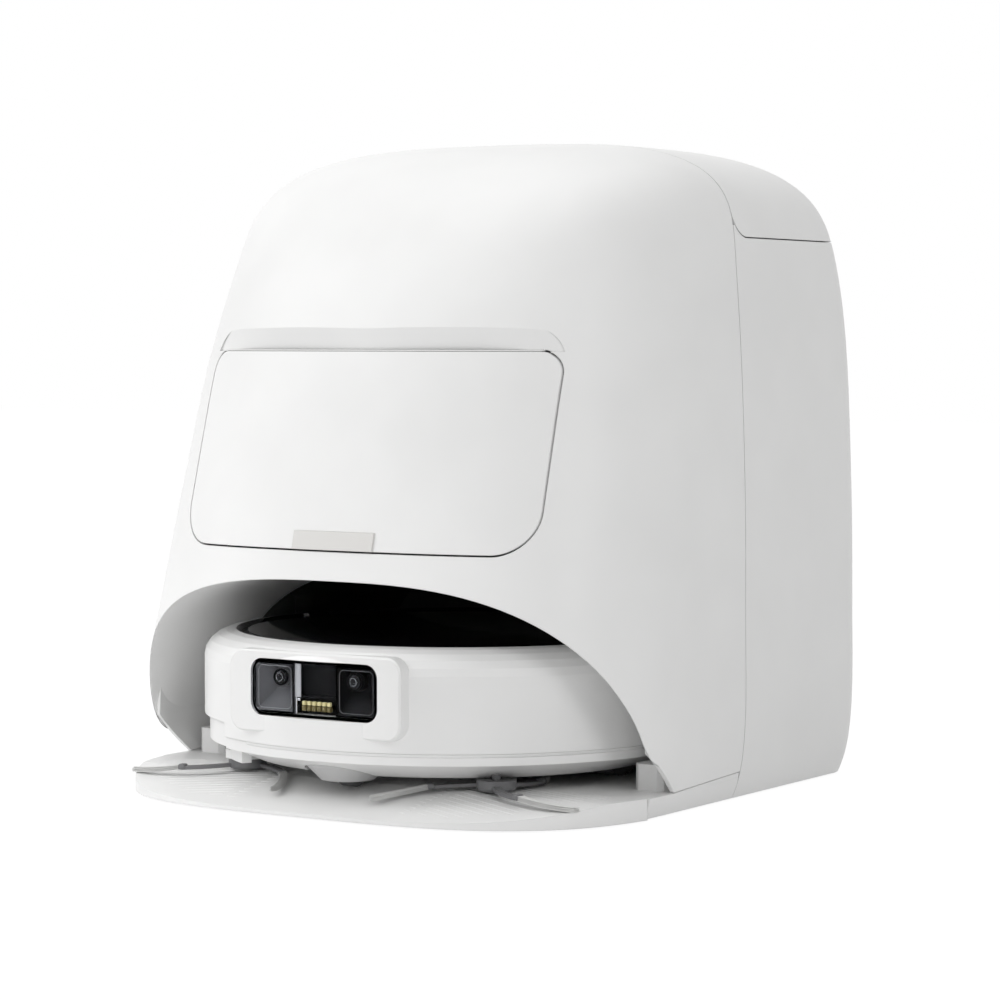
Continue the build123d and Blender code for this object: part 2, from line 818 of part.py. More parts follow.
def dust_duct():
    """The square duct from the bay's back wall up and forward to the dust chamber."""
    low = deck_height + deck_thick
    w = duct_width / 2
    back0 = bay_back + liner_wall
    points = [
        (back0, port_z - duct_width),
        (back0 + duct_width, port_z - duct_width),
        (back0 + duct_width, low + duct_width),
        (bulkhead_y, low + duct_width),
        (bulkhead_y, low),
        (back0, low),
    ]
    t = duct_wall
    hollow = [
        (back0 + t, port_z - duct_width + t),
        (back0 + duct_width - t, port_z - duct_width + t),
        (back0 + duct_width - t, low + duct_width - t),
        (bulkhead_y - 1, low + duct_width - t),
        (bulkhead_y - 1, low + t),
        (back0 + t, low + t),
    ]
    duct = side_prism(points, -w, w, [(2, duct_width / 2)])
    duct -= side_prism(hollow, t - w, w - t, [(2, duct_width / 2 - t)])
    port = block(t - w, w - t, back0 - 1, back0 + duct_width / 2, port_z - w + t, port_z + w - t)
    return duct - port


def water_tank(side):
    """One of the two tanks under the lid, hollow, with its filler's neck."""
    low = deck_height + deck_thick
    zone = block(tank_split, far, bulkhead_y + deck_thick + inner_play, far, low, tank_top)
    tank = form(wall + tank_play) & zone
    t = tank_wall
    hollow = block(tank_split + t, far, bulkhead_y + deck_thick + inner_play + t, far, low + t, tank_top - t)
    tank -= form(wall + tank_play + t) & hollow
    neck_x, neck_y = tank_neck()
    tank += post(cap_radius - 2 * t, tank_top, tank_top + cap_height / 2, neck_x, neck_y)
    tank -= post(cap_radius - 3 * t, tank_top - 2 * t, above, neck_x, neck_y)
    return mirrored(tank) if side < 0 else tank


def tank_neck():
    """Where a tank's filler stands, on the +X side."""
    return (tank_split + 4 * cap_radius, bulkhead_y + 3.2 * cap_radius)


def tank_cap(side):
    """The screw cap on a tank's neck, with a grip bar across its top."""
    neck_x, neck_y = tank_neck()
    t = tank_wall
    cap = post(cap_radius, tank_top, tank_top + cap_height, neck_x, neck_y)
    cap -= post(cap_radius - 2 * t + running_gap / 4, tank_top - 1, tank_top + cap_height / 2 + running_gap / 4,
                neck_x, neck_y)
    grip = block(neck_x - cap_radius * 0.7, neck_x + cap_radius * 0.7, neck_y - t, neck_y + t,
                 tank_top + cap_height / 2 + t, tank_top + cap_height * 1.6)
    cap += grip
    return mirrored(cap) if side < 0 else cap


def suction_motor():
    """The motor in its round housing on the chamber's roof, with cooling ribs."""
    low = chamber_top
    motor = post(motor_radius, low, low + motor_height, motor_x, motor_y)
    motor = fillet(motor.faces().sort_by(Axis.Z)[-1].edges(), motor_radius / 6)
    motor -= post(motor_radius / 2, low - 1, low + motor_height / 8, motor_x, motor_y)
    for k in range(5):
        z = low + motor_height * (0.3 + 0.1 * k)
        groove = post(motor_radius + 1, z, z + motor_height / 25, motor_x, motor_y)
        groove -= post(motor_radius - 2, z - 1, z + motor_height / 25 + 1, motor_x, motor_y)
        motor -= groove
    return motor


def water_pumps():
    """Two small pumps on the deck, one each side of the chamber: a round body on a square head."""
    low = deck_height + deck_thick
    x = chamber_half_width + 2 * pump_radius
    y = widest_low_y + 3 * pump_radius
    head = block(x - pump_radius, x + pump_radius, y - pump_radius, y + pump_radius, low, low + pump_radius)
    body = post(pump_radius * 0.8, low + pump_radius, low + pump_height, x, y)
    spigot = Rot(90, 0, 0) * Cylinder(pump_radius / 4, pump_radius)
    spigot = Pos(x, y + pump_radius, low + pump_radius / 2) * spigot
    whole = head + body + spigot
    return Compound(children=[whole, mirrored(whole)])


def station_board():
    """The control board on the bulkhead's front face, with its blocks of parts."""
    low = chamber_top + 4 * wall
    back = bulkhead_y
    board = block(wall, chamber_half_width, back - board_thick, back, low, low + motor_height * 0.7)
    for k in range(4):
        x = 4 * wall + k * chamber_half_width / 5
        part = block(x, x + chamber_half_width / 9, back - 4 * board_thick, back - board_thick / 2,
                     low + (2 + k) * wall, low + (6 + k) * wall)
        board += part
    return board


def power_inlet():
    """The mains inlet in the back wall, with its two blades in a recess."""
    back = back_edge(inlet_z, 0)
    w = inlet_width / 2 - running_gap / 2
    h = inlet_height / 2 - running_gap / 2
    body = block(inlet_x - w, inlet_x + w, back - 6 * wall, back - wall / 3, inlet_z - h, inlet_z + h)
    body = fillet(body.edges().filter_by(Axis.Y), wall)
    body -= block(inlet_x + wall - w, inlet_x + w - wall, back - 4 * wall, back + 1,
                  inlet_z + wall - h, inlet_z + h - wall)
    for side in (-1, 1):
        x = inlet_x + side * w / 3
        body += block(x - wall / 4, x + wall / 4, back - 5 * wall, back - wall,
                      inlet_z - h / 3, inlet_z + h / 3)
    return body


# The robot


def ring_outline(thick, low):
    """The bumper's and the rear shell's section, from the flank over the shoulder to the rim."""
    r = robot_radius
    drop = rim_height - shoulder_height
    run = r - rim_radius
    outside = [(r - run * (1 - cos(radians(a))), shoulder_height + drop * sin(radians(a)))
               for a in (0, 18, 36, 54, 72, 90)]
    inside = [(r - thick - (run - thick) * (1 - cos(radians(a))),
               shoulder_height + (drop - thick) * sin(radians(a))) for a in (72, 54, 36, 18, 0)]
    lip = [(rim_radius - rim_lip, rim_height - rim_lip), (rim_radius - rim_lip, rim_height - rim_lip - thick)]
    return [(r, low)] + outside + lip + inside + [(r - thick, low)]


def at_angle(angle, radius):
    """X and Y on the robot at an angle from straight ahead, positive to the left."""
    return (-radius * sin(radians(angle)), robot_y - radius * cos(radians(angle)))


def sector(angle0, angle1, r0, r1, z0, z1):
    """A ring sector between two angles from straight ahead, positive to the left."""
    ring = post(r1, z0, z1, 0, robot_y)
    if r0 > 0:
        ring -= post(r0, z0 - 1, z1 + 1, 0, robot_y)
    wedge = [(0, robot_y)]
    steps = 4
    for k in range(steps + 1):
        wedge.append(at_angle(angle0 + (angle1 - angle0) * k / steps, 3 * r1))
    cut = Pos(0, 0, z0 - 1) * extrude(make_face(Polyline(*wedge, close=True)), z1 - z0 + 2)
    return ring & cut


def rounded_plate(width, height, corner, y0, y1, z):
    """A plate across the robot's front with rounded corners, its middle at height z."""
    face = Pos(0, z) * RectangleRounded(width, height, corner)
    return front_prism(face, y0, y1)


def bumper_shell():
    """The sprung front bumper, with the flat bezel round the sensor window."""
    section = ring_outline(shell_thick, ring_height + running_gap)
    shell = turned(section, 2 * bumper_half_angle, 270 - bumper_half_angle)
    bezel_z = robot_floor + window_center - 3.0
    bezel = rounded_plate(bezel_width, bezel_height, bezel_corner, window_y,
                          window_y + 4 * shell_thick, bezel_z)
    bezel = chamfer(bezel.faces().sort_by(Axis.Y)[0].edges(), shell_thick / 2)
    deep = window_y + pod_depth + window_thick
    frame = rounded_plate(bezel_width - shell_thick, bezel_height - shell_thick, bezel_corner,
                          window_y + shell_thick, deep, bezel_z)
    shell += bezel + (frame - turned([(0, 0), (robot_radius / 2, 0), (robot_radius / 2, rim_height),
                                      (0, rim_height)]))
    pocket = rounded_plate(window_width - 4, window_height - 4, window_corner - 2, -far, far, window_z)
    seat = rounded_plate(window_width, window_height, window_corner, -far, window_y + window_thick, window_z)
    shell -= pocket & block(-far, far, -far, robot_y, 0, above)
    shell -= seat
    notch = sector(notch_from, notch_to, robot_radius / 2, robot_radius + 5, robot_floor,
                   robot_floor + notch_height)
    return shell - notch


def sensor_window():
    """The dark glass over the cameras."""
    gap = running_gap / 4
    return rounded_plate(window_width - gap, window_height - gap, window_corner - gap, window_y,
                         window_y + window_thick, window_z)


def camera_pod(side):
    """A camera behind the glass: a flared hood on a base plate with a stepped lens barrel."""
    gap = running_gap / 4
    x = side * lens_spacing / 2
    z = window_z + lens_rise
    front = window_y + window_thick
    back = front + pod_depth
    edge = window_width / 2 - 2 - gap
    half = (window_height - 4) / 2 - gap
    inner_edge = lens_spacing / 2 - 2 * lens_radius
    mouth = make_face(Polyline((side * inner_edge, window_z - half), (side * edge, window_z - half),
                               (side * edge, window_z + half), (side * inner_edge, window_z + half), close=True))
    throat = Pos(x, z) * Rectangle(2.4 * lens_radius, 2.4 * lens_radius)
    plane_front = Plane(origin=(0, front, 0), x_dir=(1, 0, 0), z_dir=(0, -1, 0))
    plane_back = Plane(origin=(0, back - 3, 0), x_dir=(1, 0, 0), z_dir=(0, -1, 0))
    body = front_prism(mouth, front, back)
    body &= rounded_plate(2 * edge, 2 * half, window_corner - 2, front, back, window_z)
    mouth_in = offset(mouth, -1.2)
    funnel = loft([plane_front * mouth_in, plane_back * throat])
    body -= funnel
    y0 = back - 3 - lens_length
    barrel = Pos(x, (y0 + back) / 2, z) * Rot(90, 0, 0) * Cylinder(lens_radius, back - y0)
    barrel += Pos(x, y0 - 0.75, z) * Rot(90, 0, 0) * Cylinder(lens_radius * 0.7, 1.5)
    return body + barrel


def depth_sensor():
    """The box between the cameras, above the lamps."""
    gap = running_gap / 2
    half = lens_spacing / 2 - 2 * lens_radius - gap
    front = window_y + window_thick
    top = window_z + window_height / 2 - 2 - gap
    low = window_z - window_height / 6 + gap
    box = block(-half, half, front + 2, front + pod_depth, low, top)
    box -= block(1.5 - half, half - 1.5, front + 1, front + pod_depth / 2, low + 1.5, top - 1.5)
    return box


def led_strip():
    """The row of small lamps under the depth sensor, on their board."""
    gap = running_gap / 2
    half = lens_spacing / 2 - 2 * lens_radius - gap
    front = window_y + window_thick
    low = window_z - window_height / 2 + 2 + gap
    top = window_z - window_height / 6 - gap
    strip = block(-half, half, front + pod_depth / 2, front + pod_depth, low, top)
    z = (low + top) / 2
    for k in range(led_count):
        x = (k - (led_count - 1) / 2) * led_pitch
        strip += block(x - led_size / 2, x + led_size / 2, front + pod_depth / 3, front + pod_depth * 0.6,
                       z - led_size / 2, z + led_size / 2)
    return strip


def rear_shell():
    """The fixed side wall behind the bumper's ends."""
    clear = degrees((bumper_travel + 2 * running_gap) / robot_radius)
    arc = 360 - 2 * bumper_half_angle - 2 * clear
    return turned(ring_outline(shell_thick, ring_height), arc, 90 - arc / 2)


def swing_place(angle, x, y):
    """A point on the swing arm turned about its pivot."""
    px, py = -swing_pivot_x, robot_y - swing_pivot_forward
    a = radians(angle)
    dx, dy = x - px, y - py
    return (px + dx * cos(a) - dy * sin(a), py + dx * sin(a) + dy * cos(a))


def swing_link(grow, angle, z0, z1):
    """The arm's plan from its pivot to the brush, turned by an angle and grown all round."""
    px, py = -swing_pivot_x, robot_y - swing_pivot_forward
    bx, by = swing_place(angle, -brush_x, robot_y - brush_forward)
    line = Line((px, py), (bx, by))
    plan = SlotCenterToCenter(line.length, 2 * (swing_boss + grow))
    middle = line @ 0.5
    lead = line % 0.5
    turn = degrees(acos(max(-1.0, min(1.0, lead.X)))) * copysign(1, lead.Y)
    return Pos(middle.X, middle.Y, z0) * Rot(0, 0, turn) * extrude(plan, z1 - z0)


def robot_chassis():
    """The robot's lower body: a pan that flares to the skirt ring, with wells for all that moves."""
    shelf = ring_radius - 8
    pan = turned([(0, robot_clear), (pan_radius, robot_clear), (ring_radius - 3, skirt_height),
                  (ring_radius, skirt_height), (ring_radius, ring_height), (shelf, ring_height),
                  (shelf, chassis_height), (0, chassis_height)])
    for side in (-1, 1):
        x = side * wheel_track / 2
        half = wheel_width / 2 + well_play
        x0, x1 = sorted((x + side * half, x - side * (half + arm_thick + well_play)))
        pan -= block(x0, x1, pivot_y - arm_width, wheel_y + wheel_radius + well_play, 0, above)
        pin0, pin1 = sorted((side * (roller_end + 1), x - side * (wheel_width / 2 + 1)))
        pan += bar(axle_radius, pin0, pin1, pivot_y, pivot_z)
        pan -= post(mop_radius + well_play, 0, disc_top + well_play, side * mop_x, mop_y)
        pan -= post(spindle_radius + hinge_play, 0, above, side * mop_x, mop_y)
        contact_x = side * contact_half
        reach = contact_width / 2 + running_gap
        pan -= block(contact_x - reach, contact_x + reach, contact_face_y - 2 * shell_thick, far,
                     skirt_height + robot_floor, ring_height + robot_floor)
    pan -= block(-roller_end, roller_end, roller_y - roller_radius - well_play,
                 roller_y + roller_radius + well_play, 0, above)
    pan -= bar(axle_radius + hinge_play, -roller_end - wall, roller_end + wall, roller_y, roller_z)
    pan -= post(caster_base_radius + running_gap, 0, swing_low + caster_recess, 0, caster_y)
    pan -= post(2 * axle_radius + hinge_play, 0, above, 0, caster_y)
    pan -= post(brush_shaft_radius + hinge_play, 0, swing_top + wall, brush_x, brush_y)
    steps = 4
    for k in range(steps + 1):
        turn = -swing_travel * k / steps
        hub_x, hub_y = swing_place(turn, -brush_x, brush_y)
        pan -= swing_link(1.5, turn, 0, swing_top + running_gap)
        pan -= post(1.5 * swing_boss + 1.5, 0, swing_top + running_gap, hub_x, hub_y)
    pan -= sector(notch_from, notch_to, ring_radius - 22, far, 0, above)
    pan += post(axle_radius, swing_low, swing_top + wall, -swing_pivot_x, swing_pivot_y)
    return pan


def swing_arm():
    """The arm that swings the left brush out past the body, with its cover in the bumper's notch."""
    arm = swing_link(0, 0, swing_low, swing_top)
    arm += post(1.5 * swing_boss, swing_low, swing_top, -brush_x, brush_y)
    outside = ring_radius - 2
    inside = outside - 18
    step = 2 * swing_plate
    arm += sector(notch_from + 1.5, cover_to, inside, outside, swing_low + step,
                  robot_floor + notch_height - 3 * running_gap)
    arm += sector(notch_from + 1.5, cover_to, inside, inside + 7, swing_low, swing_low + step + 1)
    arm -= post(axle_radius + hinge_play, 0, above, -swing_pivot_x, swing_pivot_y)
    return arm - post(brush_shaft_radius + hinge_play, 0, above, -brush_x, brush_y)


def top_deck():
    """The drum that stands on the chassis and closes the robot under its top cover."""
    t = shell_thick
    return turned([(0, deck_top), (deck_radius, deck_top), (deck_radius, chassis_height),
                   (deck_radius - t, chassis_height), (deck_radius - t, deck_top - t), (0, deck_top - t)])


def top_cover():
    """The glossy cover over the deck, slightly crowned."""
    t = shell_thick
    edge = rim_height - rim_lip / 3
    steps = 5
    crown = [(cover_radius * k / steps, edge + cover_rise * (1 - (k / steps) ** 2)) for k in range(steps + 1)]
    skirt = [(cover_radius, deck_top), (cover_radius - t, deck_top), (cover_radius - t, edge - t)]
    skirt.append((0, edge - t))
    return turned(crown + skirt)


def dust_box():
    """The robot's own dust box ahead of the roller's hood, hollow."""
    x = roller_end - 2 * well_play
    back = roller_y - roller_radius - well_play - shell_thick
    front = robot_y - sqrt((deck_radius - 3 * shell_thick) ** 2 - x**2)
    top = robot_floor + deck_top - 3 * shell_thick
    t = shell_thick
    box = block(-x, x, front, back, chassis_top, top)
    return box - block(t - x, x - t, front + t, back - t, chassis_top + t, top + 1)


def roller_hood():
    """The cover over the roller's well."""
    t = shell_thick
    y0 = roller_y - roller_radius - well_play
    y1 = roller_y + roller_radius + well_play
    top = roller_z + roller_radius + well_play
    hood = block(-roller_end - t, roller_end + t, y0 - t, y1 + t, chassis_top, top + t)
    return hood - block(-roller_end, roller_end, y0, y1, 0, top)


def battery_pack():
    """The battery behind the roller's hood."""
    y0 = roller_y + roller_radius + 2 * well_play
    pack = block(2 * well_play - roller_end, roller_end - 2 * well_play, y0, y0 + mop_x * 0.7,
                 chassis_top, chassis_top + chassis_height)
    return fillet(pack.edges().filter_by(Axis.Z), well_play)


def blower():
    """The robot's suction fan in its round housing, with its exhaust neck."""
    r = (mop_x - mop_motor_radius) * 0.8
    fan = post(r, chassis_top, chassis_top + chassis_height, 0, mop_y)
    fan += post(r / 3, chassis_top, chassis_top + 1.3 * chassis_height, 0, mop_y)
    return fan + block(0, r, mop_y + r / 3, mop_y + r, chassis_top, chassis_top + chassis_height / 2)


def mop_motors():
    """The two geared motors over the mops' spindles."""
    motors = []
    for side in (-1, 1):
        motor = post(mop_motor_radius, chassis_top, chassis_top + chassis_height, side * mop_x, mop_y)
        top = motor.faces().sort_by(Axis.Z)[-1]
        motors.append(fillet(top.edges(), mop_motor_radius / 5))
    return Compound(children=motors)


def robot_contacts():
    """The two charging plates on the robot's skirt, facing the bay's back wall."""
    plates = []
    for side in (-1, 1):
        x = side * contact_half
        half = contact_width / 2
        plates.append(block(x - half, x + half, contact_face_y - 2 * shell_thick, contact_face_y,
                            contact_z - contact_height / 2, contact_z + contact_height / 2))
    return Compound(children=plates)


def wheel_arm(side):
    """A trailing arm with its pivot ahead of the wheel, inboard of it."""
    x1 = wheel_track / 2 - wheel_width / 2 - 1
    x0 = x1 - arm_thick
    rise = degrees(acos(arm_reach / sqrt(arm_reach**2 + (wheel_z - pivot_z) ** 2)))
    length = sqrt(arm_reach**2 + (wheel_z - pivot_z) ** 2)
    web = Pos((x0 + x1) / 2, (pivot_y + wheel_y) / 2, (pivot_z + wheel_z) / 2)
    arm = web * Rot(rise, 0, 0) * Box(arm_thick, length, arm_width)
    arm += bar(arm_width / 2, x0, x1, pivot_y, pivot_z)
    arm += bar(arm_width / 2, x0, x1, wheel_y, wheel_z)
    arm -= bar(axle_radius + hinge_play, x0 - 1, x1 + 1, pivot_y, pivot_z)
    arm -= bar(axle_radius + hinge_play, x0 - 1, x1 + 1, wheel_y, wheel_z)
    return mirrored(arm) if side < 0 else arm


def wheel_hub(side):
    """A drive wheel's hub with its axle stub and five lightening holes."""
    x0 = wheel_track / 2 - wheel_width / 2
    x1 = x0 + wheel_width
    r = wheel_radius - tyre_thick
    hub = bar(r, x0, x1, wheel_y, wheel_z)
    hub += bar(axle_radius, x0 - arm_thick, x0 + 1, wheel_y, wheel_z)
    count = 5
    for k in range(count):
        turn = radians(360 * k / count)
        y, z = wheel_y + r * 0.6 * cos(turn), wheel_z + r * 0.6 * sin(turn)
        hub -= bar(r / 5, x0 + wheel_width / 2, x1 + 1, y, z)
    return mirrored(hub) if side < 0 else hub


def wheel_tyre(side):
    """A drive wheel's tyre with its cross grooves."""
    x0 = wheel_track / 2 - wheel_width / 2
    x1 = x0 + wheel_width
    tyre = bar(wheel_radius, x0, x1, wheel_y, wheel_z)
    tyre -= bar(wheel_radius - tyre_thick, x0 - 1, x1 + 1, wheel_y, wheel_z)
    groove = Pos(0, 0, wheel_radius) * Box(wheel_width + 2, tyre_thick / 2, 2 * tread_depth)
    middle = Pos((x0 + x1) / 2, wheel_y, wheel_z)
    cuts = [middle * Rot(360 * (k + 0.5) / tread_count, 0, 0) * groove for k in range(tread_count)]
    tyre -= cuts
    return mirrored(tyre) if side < 0 else tyre


def main_roller():
    """The main brush roller: a core with rubber fins, on its shaft."""
    half = roller_length / 2
    roller = bar(roller_core, -half, half, roller_y, roller_z)
    roller += bar(axle_radius, -roller_end - wall * 0.8, roller_end + wall * 0.8, roller_y, roller_z)
    fin = Pos(0, 0, roller_radius / 2) * Box(roller_length, fin_thick, roller_radius)
    for k in range(roller_fins):
        roller += Pos(0, roller_y, roller_z) * Rot(360 * (k + 0.5) / roller_fins, 0, 0) * fin
    return roller & bar(roller_radius, -far, far, roller_y, roller_z)


def mop_disc(side):
    """The stiff disc that carries a mop pad, with its spindle."""
    x = side * mop_x
    disc = post(mop_radius - 3, disc_top - mop_disc_thick, disc_top, x, mop_y)
    return disc + post(spindle_radius, disc_top, chassis_top - running_gap, x, mop_y)


def mop_pad(side):
    """A mop's fleece pad, drawn in at its edges."""
    x = side * mop_x
    low = robot_floor + pad_lift
    pad = post(mop_radius, low, low + mop_pad_thick, x, mop_y)
    pad = fillet(pad.faces().sort_by(Axis.Z)[0].edges(), mop_pad_thick * 0.4)
    return pad


def caster_swivel():
    """The caster's turning cup, with its stem and the fixed axle in its slot."""
    top = swing_low + caster_recess - running_gap
    outline = [(0, top), (caster_base_radius, top),
               (caster_base_radius, caster_height + caster_base_radius - caster_tip_radius),
               (caster_tip_radius, caster_height), (0, caster_height)]
    cup = Pos(0, caster_y, 0) * revolve(Plane.XZ * make_face(Polyline(*outline, close=True)), Axis.Z)
    cup += post(2 * axle_radius, top, chassis_top - running_gap, 0, caster_y)
    y = caster_y + caster_trail
    half = caster_wheel_width / 2 + running_gap
    reach = caster_wheel_radius + 1
    cup -= block(-half, half, y - reach, y + reach, 0, caster_wheel_z + reach)
    return cup + bar(axle_radius * 0.7, -half - 1, half + 1, y, caster_wheel_z)


def caster_wheel():
    """The small front wheel in the caster's cup."""
    half = caster_wheel_width / 2
    y = caster_y + caster_trail
    wheel = bar(caster_wheel_radius, -half, half, y, caster_wheel_z)
    wheel = fillet(wheel.edges().filter_by(GeomType.CIRCLE), caster_wheel_width / 6)
    return wheel - bar(axle_radius * 0.7 + hinge_play, -half - 1, half + 1, y, caster_wheel_z)


def side_brush(side):
    """A side brush's hub with its shaft and three swept stems."""
    brush = post(brush_hub_radius, brush_top - brush_hub_height, brush_top)
    brush = chamfer(brush.faces().sort_by(Axis.Z)[0].edges(), brush_hub_height / 4)
    brush += post(brush_shaft_radius, brush_top, swing_top)
    tilt = degrees(acos(sqrt(1 - (stem_droop / stem_reach) ** 2)))
    inside = CenterArc(stem_middle, stem_radius - stem_width / 2, -90 - stem_turn, 2 * stem_turn)
    outside = CenterArc(stem_middle, stem_radius + stem_width / 2, -90 - stem_turn, 2 * stem_turn)
    ends = [Line(inside @ 0, outside @ 0), Line(inside @ 1, outside @ 1)]
    plan = make_face([inside, outside, *ends])
    stem = Rot(0, tilt, 0) * Pos(0, 0, -stem_thick / 2) * extrude(plan, stem_thick)
    for angle in stem_angles:
        brush += Pos(0, 0, stem_z) * Rot(0, 0, angle) * stem
    placed = Pos(brush_x, brush_y, 0) * brush
    return mirrored(placed) if side < 0 else placed


def strand_plan(bend):
    """A strand seen from above: a strip of two straight lengths with a bend between them."""
    w = strand_side / 2
    first = tuft_length / 2
    tail_x = first + first * cos(radians(bend))
    tail_y = first * sin(radians(bend))
    lean_x = w * sin(radians(bend))
    lean_y = w * cos(radians(bend))
    mid = w * tan(radians(bend / 2))
    points = [(0, -w), (first + mid, -w), (tail_x + lean_x, tail_y - lean_y),
              (tail_x - lean_x, tail_y + lean_y), (first - mid, w), (0, w)]
    return make_face(Polyline(*points, close=True))


def bristle_tufts(side):
    """The tufts at the ends of a brush's stems, each fused to the clip that holds it."""
    strand = extrude(strand_plan(tuft_bend), strand_side)
    tufts = []
    for angle, drop in zip(stem_angles, tuft_drops):
        width = strand_pitch * strand_columns + 1
        height = strand_pitch * strand_rows + 0.6
        lift = stem_z - stem_droop + (height - stem_thick) / 2
        clip = Pos(clip_length / 2, 0, 0) * Box(clip_length, width, height)
        tilt = Rot(0, degrees(drop / tuft_length), 0)
        strands = []
        for row in range(strand_rows):
            for column in range(strand_columns):
                y = (column - (strand_columns - 1) / 2) * strand_pitch
                z = (row - (strand_rows - 1) / 2) * strand_pitch - strand_side / 2
                strands.append(Pos(clip_length - 1.5, 0, 0) * tilt * Pos(0, y, z) * strand)
        tuft = clip.fuse(*strands)
        end_x = brush_x + stem_reach * cos(radians(angle))
        end_y = brush_y + stem_reach * sin(radians(angle))
        tufts.append(Pos(end_x, end_y, lift) * Rot(0, 0, angle + stem_turn) * tuft)
    whole = Compound(children=tufts)
    return mirrored(whole) if side < 0 else whole


def build():
    """Every piece of the station and of the robot, by name."""
    parts = {
        "front_shell": front_shell(),
        "rear_housing": rear_housing(),
        "tank_lid": tank_lid(),
        "lid_hinge_pins": lid_hinge_pins(),
        "hatch_panel": hatch_panel(),
        "hatch_pull_tab": hatch_pull_tab(),
        "hatch_hinge_pins": hatch_hinge_pins(),
        "base_plinth": base_plinth(),
        "wash_tray": wash_tray(),
        "ramp_plate": ramp_plate(),
        "rubber_feet": rubber_feet(),
        "bay_liner": bay_liner(),
        "charging_contacts": charging_contacts(),
        "inner_frame": inner_frame(),
        "dust_chamber": dust_chamber(),
        "dust_bag": dust_bag(),
        "bag_collar": bag_collar(),
        "dust_duct": dust_duct(),
        "clean_water_tank": water_tank(1),
        "clean_tank_cap": tank_cap(1),
        "dirty_water_tank": water_tank(-1),
        "dirty_tank_cap": tank_cap(-1),
        "suction_motor": suction_motor(),
        "water_pumps": water_pumps(),
        "station_board": station_board(),
        "power_inlet": power_inlet(),
        "bumper_shell": bumper_shell(),
        "sensor_window": sensor_window(),
        "camera_left": camera_pod(-1),
        "camera_right": camera_pod(1),
        "depth_sensor": depth_sensor(),
        "led_strip": led_strip(),
        "rear_shell": rear_shell(),
        "robot_chassis": robot_chassis(),
        "swing_arm": swing_arm(),
        "top_deck": top_deck(),
        "top_cover": top_cover(),
        "dust_box": dust_box(),
        "roller_hood": roller_hood(),
        "battery_pack": battery_pack(),
        "blower": blower(),
        "mop_motors": mop_motors(),
        "robot_contacts": robot_contacts(),
        "wheel_arm_left": wheel_arm(-1),
        "wheel_arm_right": wheel_arm(1),
        "wheel_hub_left": wheel_hub(-1),
        "wheel_hub_right": wheel_hub(1),
        "wheel_tyre_left": wheel_tyre(-1),
        "wheel_tyre_right": wheel_tyre(1),
        "main_roller": main_roller(),
        "mop_disc_left": mop_disc(-1),
        "mop_disc_right": mop_disc(1),
        "mop_pad_left": mop_pad(-1),
        "mop_pad_right": mop_pad(1),
        "caster_swivel": caster_swivel(),
        "caster_wheel": caster_wheel(),
        "side_brush_left": side_brush(-1),
        "side_brush_right": side_brush(1),
        "brush_tufts_left": bristle_tufts(-1),
        "brush_tufts_right": bristle_tufts(1),
    }
    return parts


os.makedirs("parts", exist_ok=True)
for name, shape in build().items():
    export_step(shape, f"parts/{name}.step")
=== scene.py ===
"""Looks of a robot vacuum docked in its wash station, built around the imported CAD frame."""

import json
import logging
import math
from dataclasses import dataclass
from enum import Enum
from typing import Any, Callable

import bmesh
import bpy
from mathutils import Matrix, Vector, noise

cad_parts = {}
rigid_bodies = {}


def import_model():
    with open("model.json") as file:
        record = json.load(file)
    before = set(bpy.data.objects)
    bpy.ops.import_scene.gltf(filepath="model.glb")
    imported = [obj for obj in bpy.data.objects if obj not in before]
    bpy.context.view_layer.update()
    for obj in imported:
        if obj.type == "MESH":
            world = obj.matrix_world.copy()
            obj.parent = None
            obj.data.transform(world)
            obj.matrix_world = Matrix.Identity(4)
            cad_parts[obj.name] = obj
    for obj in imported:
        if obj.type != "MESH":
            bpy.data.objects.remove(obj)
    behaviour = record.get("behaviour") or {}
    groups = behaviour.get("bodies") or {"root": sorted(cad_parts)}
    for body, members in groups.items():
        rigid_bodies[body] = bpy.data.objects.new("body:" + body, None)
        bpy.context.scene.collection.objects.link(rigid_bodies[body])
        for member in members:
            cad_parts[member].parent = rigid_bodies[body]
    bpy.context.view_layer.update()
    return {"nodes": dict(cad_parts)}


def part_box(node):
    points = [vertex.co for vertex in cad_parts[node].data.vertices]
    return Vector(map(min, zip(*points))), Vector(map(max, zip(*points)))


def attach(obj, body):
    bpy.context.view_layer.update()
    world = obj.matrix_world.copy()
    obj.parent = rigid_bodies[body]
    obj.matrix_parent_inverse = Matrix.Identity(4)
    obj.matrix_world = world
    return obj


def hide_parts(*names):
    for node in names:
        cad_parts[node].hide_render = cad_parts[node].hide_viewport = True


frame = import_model()
LOG = logging.getLogger("scene")

BMesh = bmesh.types.BMesh
Mesh = bpy.types.Mesh
Node = bpy.types.Node
Socket = bpy.types.NodeSocket
Colour = tuple[float, float, float]
Pair = tuple[float, float]
Point = tuple[float, float, float]

PURE_WHITE = (1.0, 1.0, 1.0, 1.0)
COAT_ROUGHNESS = 0.08
DRIFT_SCALE = 14.0
DRIFT_DETAIL = 2.0
DRIFT_STOPS = (0.3, 0.7)
ROUGHNESS_DRIFT = 0.04
# Share of the colour left at the deep end of a painted shade.
PAINTED_SHADE_END = 0.2
RELIEF_DETAIL = 3.0
RELIEF_STRENGTH = 0.5
BRUSHED_STRETCH = (0.04, 1.0, 1.0)
EDGE_SAMPLES = 6
MERGE_DISTANCE = 1e-7
ON_AXIS = 1e-9
BLOCK_ROUND = 0.14
RIB_SIDES = 8
STRAND_SIDES = 4
STRAND_STEPS = 9


class Side(Enum):
    """Which side of the middle plane a piece lies on."""

    LEFT = -1
    RIGHT = 1

    @property
    def word(self) -> str:
        """The side's name in lower case."""
        return self.name.lower()


